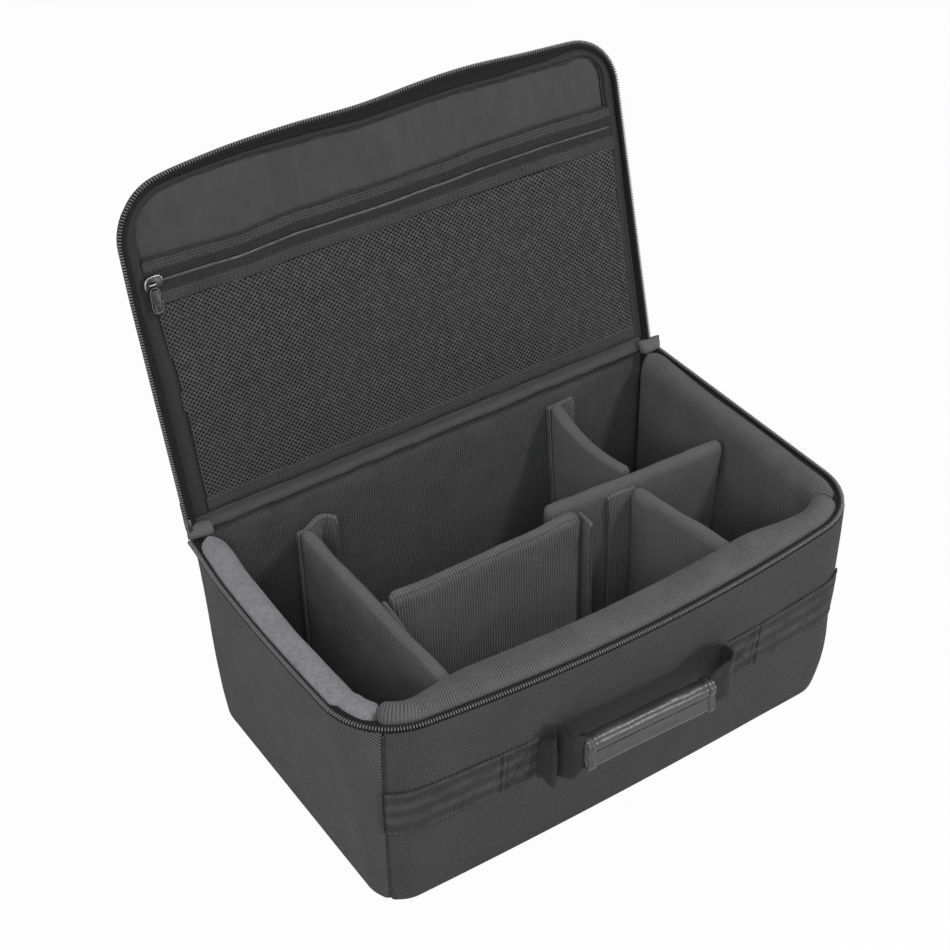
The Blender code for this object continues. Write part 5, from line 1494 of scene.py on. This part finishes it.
def make_net():
    """Knitted net: two families of wavy strands that meet and part, leaving diamond holes."""
    low, high = 0.0185, 0.1525
    wide, tall = 0.0036, 0.0032
    columns = int(2 * POCKET_HALF / wide) + 4
    levels = int((high - low) / (tall / 2))
    strand = 0.00048
    points, faces = [], []

    def spot(i, j):
        x = -POCKET_HALF + (i - 2 + (0.5 if j % 2 else 0.0)) * wide
        a = low + j * tall / 2
        drift = 0.0010 * rough(x, a, 0, 0.06, 44)
        return x + drift, a

    def ribbon(p, q):
        x0, a0 = p
        x1, a1 = q
        run = Vector((x1 - x0, a1 - a0))
        side = Vector((-run.y, run.x)).normalized() * strand
        base = len(points)
        for x, a, s in ((x0, a0, -1), (x0, a0, 1), (x1, a1, 1), (x1, a1, -1)):
            px, pa = x + side.x * s, a + side.y * s
            points.append(lid_place(px, pa, 0.0026 + net_bow(px, pa)))
        faces.append([base, base + 1, base + 2, base + 3])

    for j in range(levels):
        for i in range(columns + 1):
            here = spot(i, j)
            first, last = pocket_ends(here[1])
            if not first < here[0] < last:
                continue
            shift = 1 if j % 2 else 0
            for k in (i - 1 + shift, i + shift):
                there = spot(k, j + 1)
                if first < there[0] < last:
                    ribbon(here, there)
    uvs = [[(points[i].x, points[i].z) for i in face] for face in faces]
    obj = mesh_object("pocket_mesh", points, faces, uvs, NET)
    dress(obj, "lid", ["pocket_net"], "net")
    rows = []
    for t in steps(40):
        a = mix(0.0195, 0.1575, t)
        x = mix(0.0345, 0.0235, t) + 0.0012 * rough(a, 0, 0, 0.04, 51)
        ring = []
        for off, b in ((-0.0045, 0.0031), (-0.0030, 0.0028), (0.0, 0.0027), (0.0030, 0.0028), (0.0045, 0.0031),
                       (0.0045, 0.0040), (0.0, 0.0041), (-0.0045, 0.0040)):
            ring.append(lid_place(x + off, a, b + 0.0003))
        rows.append(ring)
    tape = surface("pocket_divider_band", rows, TAPE, closed=True, ends=True, outward=True)
    dress(tape, "lid", ["pocket_divider_tape"], "pocket_tape")


# Sliders


def plate(batch, place, size, rounding=0.3):
    """Small block with rounded edges; place maps local (x, y, z) to the world."""
    w, l, h = (s / 2 for s in size)
    r = min(size) * rounding
    profile = [(-h, r), (-h + r * 0.3, r * 0.3), (-h + r, 0.0), (h - r, 0.0), (h - r * 0.3, r * 0.3), (h, r)]
    points = []
    for z, inset in profile:
        a, b = w - inset, l - inset
        c = r
        ring = [(a - c, -b), (a - 0.3 * c, -b + 0.3 * c), (a, -b + c), (a, b - c), (a - 0.3 * c, b - 0.3 * c), (a - c, b),
                (-a + c, b), (-a + 0.3 * c, b - 0.3 * c), (-a, b - c), (-a, -b + c), (-a + 0.3 * c, -b + 0.3 * c), (-a + c, -b)]
        points += [place(x, y, z) for x, y in ring]
    faces = []
    for k in range(len(profile) - 1):
        for i in range(12):
            j = (i + 1) % 12
            faces.append([k * 12 + i, k * 12 + j, (k + 1) * 12 + j, (k + 1) * 12 + i])
    faces.append(list(range(12))[::-1])
    faces.append([(len(profile) - 1) * 12 + i for i in range(12)])
    batch.add(points, faces)


def make_sliders():
    x0, a0, b0 = -0.1838, 0.0078, 0.00135

    def main(dx, da, db):
        return lambda x, y, z: lid_place(x0 + dx + x, a0 + da + y, b0 + db + z)

    body = Batch()
    plate(body, main(0.0000, 0, -0.0021), (0.0032, 0.0084, 0.0009))
    plate(body, main(0.0000, 0, 0.0021), (0.0032, 0.0084, 0.0009))
    plate(body, main(-0.0010, 0, 0.0), (0.0007, 0.0082, 0.0042))
    plate(body, main(-0.0004, 0.0024, 0.0030), (0.0016, 0.0022, 0.0010))
    obj = body.make("main_slider_body", RIM_METAL)
    dress(obj, "zip_slider", ["zip_slider"], "zip_metal")
    pull = Batch()
    plate(pull, main(0.0004, 0.0072, 0.0034), (0.0028, 0.0150, 0.0010))
    obj = pull.make("main_slider_pull", DARK_METAL)
    dress(obj, "zip_puller", ["zip_puller"], "zip_metal")

    px, pa = -0.1690, 0.1672

    def pocket(dx, da, b):
        return lambda x, y, z: lid_place(px + dx + x, pa + da + y, b + z)

    body = Batch()
    plate(body, pocket(0.0010, 0, 0.0016), (0.0112, 0.0076, 0.0012))
    plate(body, pocket(0.0010, 0, 0.0034), (0.0106, 0.0070, 0.0010))
    out = lid_place(0, 0, -1) - lid_place(0, 0, 0)
    frame_path = [lid_place(px + x, pa + y, 0.0008) for x, y in
                  ((-0.0044, -0.0040), (-0.0050, -0.0010), (-0.0042, 0.0020), (-0.0022, 0.0038), (0.0010, 0.0042),
                   (0.0052, 0.0040), (0.0064, 0.0024), (0.0068, -0.0022))]
    frame = Batch()
    frame.add(*tube_points(frame_path, 0.00055, 8, 1.0, out))
    bridge = [lid_place(px - 0.0026 + 0.0052 * t, pa - 0.0004, 0.0004 - 0.0012 * sin(pi * t)) for t in steps(10)]
    frame.add(*tube_points(bridge, 0.0007, 8, 1.0, out))
    obj = body.make("pocket_slider_body", DARK_METAL)
    dress(obj, "pocket_slider", ["pocket_slider"], "zip_metal")
    dress(frame.make("pocket_slider_frame", METAL), "pocket_slider", slot="zip_metal")
    pull, rim = Batch(), Batch()
    plate(pull, lambda x, y, z: lid_place(px + x, pa - 0.0112 + y, 0.0001 + z), (0.0058, 0.0142, 0.0009))
    # The raised rim loops take the lighter rim metal: a real rim, and a painted highlight round the black puller's
    # edge and slot.
    for reach in (0.0034, 0.0016):
        loop = []
        for k in range(33):
            turn = 2 * pi * k / 32
            c, t = cos(turn), sin(turn)
            wide = reach * (1.0 if t > 0 else 1.10)
            tall = 0.0080 if reach > 0.002 else 0.0024
            centre = -0.0108 if reach > 0.002 else -0.0160
            x = wide * abs(c) ** 0.5 * (1 if c > 0 else -1)
            y = centre + tall * abs(t) ** 0.7 * (1 if t > 0 else -1)
            loop.append(lid_place(px + x, pa + y, -0.0001))
        rim.add(*tube_points(loop, 0.00045, 8, 1.0, out))
    obj = pull.make("pocket_slider_pull", DARK_METAL)
    dress(obj, "pocket_puller", ["pocket_puller"], "zip_metal")
    dress(rim.make("pocket_slider_pull_rim", RIM_METAL), "pocket_puller", slot="zip_metal")


# Webbing and handle


def ribbed_band(name, node, x_to, side):
    """Webbing sewn flat to the front from the corner's seam to x_to."""
    levels = steps(40)
    places = [("corner", s) for s in steps(9, SEAM + 0.012, 1.0)] + [("front", s) for s in steps(56)[1:]]
    first = abs(case_point("front", 0.0, BAND_LOW, 0.0)[0])
    rows, plane = [], []
    run = 0.0
    last = None
    for kind, s in places:
        outer, inner, flat = [], [], []
        for t in levels:
            z = mix(BAND_LOW, BAND_HIGH, t)
            if kind == "corner":
                x, y = case_point("front_left", seam_shift("front_left", s, z), z, 0.0)
                x *= -side
            else:
                x = side * mix(first, abs(x_to), s)
                y = front_y(x, z)
            z += 0.0007 * rough(x, 0, 1.0 if t < 0.5 else 5.0, 0.02, 91) * abs(2 * t - 1)
            tuck = 1 - smooth(min(t, 1 - t), 0.0, 0.035)
            rib = 0.0004 * cos(2 * pi * (z - RIB_MIDDLE) / RIB_PITCH) * smooth(run, 0.007, 0.012)
            lump = 0.0003 * rough(x, z, 0, 0.012, 92) + 0.00025 * rough(x, z, 0, 0.004, 93)
            depth = 0.0017 + rib + lump - 0.0011 * tuck
            out = Vector((0, -1, 0)) if kind == "front" else Vector((x - side * 0.14, y + 0.09, 0)).normalized()
            base = Vector((x, y, z))
            outer.append(base + out * depth)
            inner.append(base + out * 0.0002)
            flat.append(z)
        if last:
            run += (outer[20] - last).length
        last = outer[20]
        rows.append(outer + inner[::-1])
        plane.append([(run, z) for z in flat + flat[::-1]] + [(run, flat[0])])
    obj = surface(name, rows, WEBBING, closed=True, ends=True, outward=side > 0, plane=plane)
    dress(obj, "case", [node], "webbing")
    return obj


def front_line(batch, p, q, depth=0.0021, sway=0.0004, **more):
    """Row of stitches over the front between two places (x, z)."""
    path = []
    for t in steps(30):
        x, z = mix(p[0], q[0], t), mix(p[1], q[1], t)
        x += sway * rough(x, z, 0, 0.008, 95)
        z += sway * rough(z, x, 0, 0.008, 96)
        path.append(Vector((x, front_y(x, z, -depth), z)))
    stitches(batch, path, Vector((0, -1, 0)), **more)


def band_line(batch, side, x_to, z, depth, sway=0.0004, **more):
    """Row of stitches along the webbing at a height, from the corner's seam to x_to."""
    path = []
    for s in steps(9, SEAM + 0.02, 1.0)[:-1]:
        x, y = case_point("front_left", seam_shift("front_left", s, z), z, -depth)
        path.append(Vector((-side * x, y, z)))
    first = abs(case_point("front", 0.0, z, 0.0)[0])
    for x in steps(30, side * first, side * abs(x_to)):
        height = z + sway * rough(z, x, 0, 0.008, 96)
        path.append(Vector((x, front_y(x, height, -depth), height)))
    stitches(batch, path, Vector((0, -1, 0)), **more)


def make_bands():
    ribbed_band("left_webbing", "band_left", STRAP_LEFT, -1)
    ribbed_band("right_webbing", "band_right", STRAP_RIGHT, 1)
    dark, light = Batch(), Batch()
    low, high = BAND_LOW, BAND_HIGH
    tight = {"length": 0.0016, "gap": 0.0012}
    for side, x in ((-1, -0.078), (1, 0.070)):
        band_line(dark, side, x, high + 0.0003, 0.0010, **tight, radius=0.0005)
        band_line(dark, side, x, low - 0.0004, 0.0007, **tight, radius=0.0004)
        band_line(light, side, x, low + 0.0012, 0.0014, 0.0006, length=0.0022, gap=0.0012, radius=0.00032)
        band_line(light, side, x, high - 0.0022, 0.0016, 0.0006, length=0.0020, gap=0.0016, radius=0.00024)
    for x in (-0.1005, 0.0985):
        front_line(dark, (x, low + 0.001), (x, high - 0.001), 0.0020, **tight, radius=0.0004)
        front_line(light, (x + 0.0014, low + 0.001), (x + 0.0014, high - 0.001), 0.0020, length=0.0018, gap=0.001)
    for x0, x1 in ((-0.0965, -0.0800), (0.0720, 0.0940)):
        corners = [(x, z) for z in (low + 0.003, high - 0.003) for x in (x0, x1)]
        for i, j in ((0, 1), (2, 3), (0, 3), (2, 1), (0, 2), (1, 3)):
            front_line(dark, corners[i], corners[j], **tight)
    dress(dark.make("webbing_dark_stitches", THREAD), "case", slot="webbing")
    dress(light.make("webbing_light_stitches", WORN_THREAD), "case", slot="webbing")


GRIP_HALF_Y, GRIP_HALF_Z = 0.0058, 0.0108
GRIP_SHAPE = ((0.0, 1.0), (-0.56, 0.95), (-0.90, 0.77), (-1.02, 0.50), (-0.95, 0.26), (-0.76, 0.08), (-0.80, -0.06),
              (-0.92, -0.32), (-1.03, -0.62), (-1.02, -0.86), (-0.78, -0.99), (0.0, -1.01), (0.74, -0.98), (0.90, -0.72),
              (0.88, -0.30), (0.80, 0.06), (0.94, 0.36), (0.90, 0.75), (0.56, 0.94))


def grip_section(scale_y, scale_z):
    """Section of the grip: a round roll on top, a groove, and a flap that flares towards its foot."""
    count = len(GRIP_SHAPE)
    ring = []
    for i in range(count):
        p0, p1, p2, p3 = (Vector(GRIP_SHAPE[(i + k) % count]) for k in (-1, 0, 1, 2))
        for f in (0.0, 0.34, 0.67):
            p = spline(p0, p1, p2, p3, f)
            ring.append((p.x * scale_y, p.y * scale_z))
    return ring


def make_handle():
    length = GRIP_RIGHT - GRIP_LEFT
    rows = []
    for t in [0.0, 0.004, 0.012] + steps(70, 0.02, 0.98) + [0.988, 0.996, 1.0]:
        x = GRIP_LEFT + length * t
        end = min(t, 1 - t) * length
        scale = 1 - 0.14 * (1 - smooth(end, 0.0, 0.0022)) - 0.05 * (1 - smooth(abs(end - 0.0072), 0.0, 0.0011))
        bow = 0.0005 * sin(pi * t) + mix(0.0018, -0.0018, t)
        ring = []
        for y, z in grip_section(GRIP_HALF_Y * scale, GRIP_HALF_Z * scale):
            lump = 0.00035 * rough(x, y * 3, z * 2, 0.016, 61) + 0.00015 * rough(x, y * 2, z * 3, 0.005, 62)
            ring.append(Vector((x, GRIP_Y + y * (1 + lump * 60), GRIP_Z + z + lump + bow)))
        rows.append(ring)
    obj = surface("grip_sleeve", rows, GRIP, closed=True, ends=True, outward=False)
    dress(obj, "handle", ["handle_grip"], "grip_leather")
    for name, node, x in (("left_grip_band", "grip_band_left", GRIP_LEFT), ("right_grip_band", "grip_band_right", GRIP_RIGHT)):
        sign = 1 if x == GRIP_LEFT else -1
        rows = []
        for t, grow in ((0.0004, -0.0014), (0.0000, -0.0004), (0.0006, 0.0005), (0.0012, 0.0008), (0.0018, 0.0003),
                        (0.0026, 0.0008), (0.0050, 0.0008), (0.0057, 0.0004), (0.0060, -0.0006)):
            ring = []
            for y, z in grip_section(GRIP_HALF_Y + grow, GRIP_HALF_Z + grow):
                ring.append(Vector((x + sign * t, GRIP_Y + y, GRIP_Z + sign * 0.0017 + z)))
            rows.append(ring)
        obj = surface(name, rows, GRIP, closed=True, ends=True, outward=sign < 0)
        dress(obj, "handle", [node], "grip_leather")
    core = []
    for t in steps(10):
        x = mix(GRIP_LEFT - 0.002, GRIP_RIGHT + 0.002, t)
        core.append([Vector((x, GRIP_Y + y, GRIP_Z + z)) for y, z in
                     ((-0.0015, -0.0080), (-0.0015, 0.0), (-0.0015, 0.0080), (0.0015, 0.0080), (0.0015, 0.0), (0.0015, -0.0080))])
    obj = surface("grip_core", core, STRAP, closed=True, ends=True, outward=False)
    dress(obj, "handle", ["handle_core"], "webbing")
    # Painted shade: dark stitches laid almost end to end in the groove under the roll stand in for the groove's
    # shadow.
    thread = Batch()
    path = [Vector((x, GRIP_Y - 0.0044, GRIP_Z + 0.0006 + 0.0018 * (1 - 2 * t)))
            for t, x in zip(steps(40), steps(40, GRIP_LEFT + 0.008, GRIP_RIGHT - 0.008))]
    stitches(thread, path, Vector((0, -1, 0)), 0.0026, 0.0004, 0.0002)
    dress(thread.make("grip_stitches", THREAD), "handle", slot="grip_leather")


def strap(name, node, places):
    """Loose webbing between the front and the grip; places give x, y and the heights of its edges."""
    path = []
    n = len(places)
    for i in range(n - 1):
        p0, p1, p2, p3 = (Vector(places[min(max(i + k, 0), n - 1)]) for k in (-1, 0, 1, 2))
        for k in range(8):
            path.append(spline(p0, p1, p2, p3, k / 8))
    path.append(Vector(places[-1]))
    rows, plane = [], []
    half = 0.0010
    along = 0.0
    for i, p in enumerate(path):
        run = path[min(i + 1, len(path) - 1)] - path[max(i - 1, 0)]
        side = Vector((run.y, -run.x, 0)).normalized()
        share = i / (len(path) - 1)
        if i:
            along += (p.xy - path[i - 1].xy).length
        outer, inner, flat = [], [], []
        for t in steps(16):
            z = mix(p.z, p.w, t)
            crimp = 0.0008 * rough(along, t * 0.02, 0, 0.007, 71) * smooth(share, 0.1, 0.4)
            lean = (front_y(p.x, z, -0.0032) - front_y(p.x, 0.099, -0.0032)) * (1 - smooth(share, 0.0, 0.5))
            thin = half * (1 - 0.6 * (1 - smooth(min(t, 1 - t), 0, 0.08)))
            middle = Vector((p.x, p.y + lean, z + 0.0006 * rough(along, t, 0, 0.008, 72)))
            outer.append(middle + side * (thin + crimp))
            inner.append(middle + side * (crimp - thin))
            flat.append((along, z))
        rows.append(outer + inner[::-1])
        plane.append(flat + flat[::-1])
    obj = surface(name, rows, STRAP, closed=True, ends=True, outward=True, plane=plane)
    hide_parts(node)
    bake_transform(obj)


def make_straps():
    left = [(-0.0750, -0.1292, 0.0715, 0.1070), (-0.0745, -0.1300, 0.0720, 0.1080), (-0.0738, -0.1325, 0.0745, 0.1105),
            (-0.0728, -0.1370, 0.0720, 0.1140), (-0.0718, -0.1398, 0.0708, 0.1157), (-0.0700, -0.1385, 0.0712, 0.1150),
            (-0.0680, -0.1352, 0.0735, 0.1140), (-0.0660, -0.1350, 0.0750, 0.1150), (-0.0650, -0.1400, 0.0770, 0.1175),
            (-0.0642, -0.1450, 0.0795, 0.1190), (-0.0628, -0.1485, 0.0830, 0.1190), (-0.0600, -0.1500, 0.0880, 0.1175),
            (-0.0560, -0.1490, 0.0910, 0.1150)]
    right = [(0.0690, -0.1272, 0.0710, 0.1065), (0.0680, -0.1300, 0.0730, 0.1075), (0.0660, -0.1350, 0.0770, 0.1100),
             (0.0615, -0.1430, 0.0835, 0.1150), (0.0570, -0.1485, 0.0880, 0.1180), (0.0520, -0.1505, 0.0885, 0.1180),
             (0.0460, -0.1500, 0.0878, 0.1165), (0.0380, -0.1490, 0.0870, 0.1115)]
    strap("left_strap", "handle_strap_left", left)
    strap("right_strap", "handle_strap_right", right)


# Stage, light and camera


def seen_rays(tree):
    """1 for camera, glossy and transmission rays and 0 for the rest."""
    path = tree.nodes.new("ShaderNodeLightPath")
    found = path.outputs["Is Camera Ray"]
    for name in ("Is Glossy Ray", "Is Transmission Ray"):
        most = tree.nodes.new("ShaderNodeMath")
        most.operation = "MAXIMUM"
        tree.links.new(found, most.inputs[0])
        tree.links.new(path.outputs[name], most.inputs[1])
        found = most.outputs[0]
    return found


def make_stage():
    scene = bpy.context.scene
    look = bpy.data.materials.new("floor")
    look.use_nodes = True
    tree = look.node_tree
    tree.nodes.clear()
    out = tree.nodes.new("ShaderNodeOutputMaterial")
    paint = tree.nodes.new("ShaderNodeBsdfDiffuse")
    paint.inputs["Color"].default_value = (0.80, 0.80, 0.80, 1)
    glow = tree.nodes.new("ShaderNodeEmission")
    glow.inputs["Color"].default_value = (1, 1, 1, 1)
    share = tree.nodes.new("ShaderNodeMath")
    share.operation = "MULTIPLY"
    share.inputs[1].default_value = 0.96
    blend = tree.nodes.new("ShaderNodeMixShader")
    link = tree.links.new
    link(seen_rays(tree), share.inputs[0])
    link(share.outputs[0], blend.inputs[0])
    link(paint.outputs[0], blend.inputs[1])
    link(glow.outputs[0], blend.inputs[2])
    link(blend.outputs[0], out.inputs["Surface"])
    bm = bmesh.new()
    size = 4.0
    corners = [bm.verts.new((x, y, -0.0006)) for x, y in ((-size, -size), (size, -size), (size, size), (-size, size))]
    bm.faces.new(corners)
    mesh = bpy.data.meshes.new("floor")
    bm.to_mesh(mesh)
    bm.free()
    mesh.materials.append(look)
    floor_obj = bpy.data.objects.new("floor", mesh)
    scene.collection.objects.link(floor_obj)

    world = bpy.data.worlds.new("studio")
    scene.world = world
    world.use_nodes = True
    tree = world.node_tree
    back = tree.nodes["Background"]
    strength = tree.nodes.new("ShaderNodeMapRange")
    tree.links.new(seen_rays(tree), strength.inputs[0])
    strength.inputs[3].default_value = 0.32
    strength.inputs[4].default_value = 1.0
    tree.links.new(strength.outputs[0], back.inputs["Strength"])
    back.inputs["Color"].default_value = (1, 1, 1, 1)


def lamp(name, place, target, size, power):
    light = bpy.data.lights.new(name, "AREA")
    light.shape = "DISK"
    light.size = size
    light.energy = power
    obj = bpy.data.objects.new(name, light)
    bpy.context.scene.collection.objects.link(obj)
    obj.location = place
    run = Vector(target) - Vector(place)
    obj.rotation_euler = run.to_track_quat("-Z", "Y").to_euler()


def make_lights():
    lamp("key", (-0.9, -1.3, 1.5), (0, 0, 0.1), 1.1, 14)
    lamp("top", (0.70, -0.55, 1.47), (0, -0.10, 0.1), 0.26, 10)
    lamp("low_front", (0.66, -1.56, 0.20), (0, -0.12, 0.1), 0.36, 7.5)
    lamp("left", (-1.9, 0.0, 0.9), (0, 0, 0.15), 1.0, 8.5)


def make_camera():
    place = Vector((-0.54520, -0.79572, 0.94521))
    yaw, pitch, turn = 0.5720733, 0.6633614, -0.026985
    ahead = Vector((sin(yaw) * cos(pitch), cos(yaw) * cos(pitch), -sin(pitch)))
    right = Vector((cos(yaw), -sin(yaw), 0))
    up = right.cross(ahead)
    x_axis = right * cos(turn) + up * sin(turn)
    y_axis = -right * sin(turn) + up * cos(turn)
    data = bpy.data.cameras.new("camera")
    data.lens = 73.52
    data.sensor_width = 36
    data.clip_end = 20
    camera = bpy.data.objects.new("camera", data)
    bpy.context.scene.collection.objects.link(camera)
    matrix = Matrix((x_axis, y_axis, -ahead)).transposed().to_4x4()
    matrix.translation = place
    camera.matrix_world = matrix
    bpy.context.scene.camera = camera
    bpy.context.scene.view_settings.view_transform = "Standard"


make_camera()
make_stage()
make_lights()
make_shell()
make_pads()
make_dividers()
swell_all()
make_case_zip()
make_zip_ends()
make_lid()
make_lid_zip()
make_pocket()
make_hinge()
make_sliders()
make_bands()
make_handle()
make_straps()

# The soft wall pads each get a mesh of their own.
for name, keep in (("front_wall_pad", 0.945), ("left_wall_pad", 0.96), ("right_wall_pad", 0.96)):
    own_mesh(bpy.data.objects[name])

for slot in frame["nodes"]["bottom_board"].material_slots:
    slot.material = moulded("board_plastic", (0.02, 0.02, 0.02), 0.6)
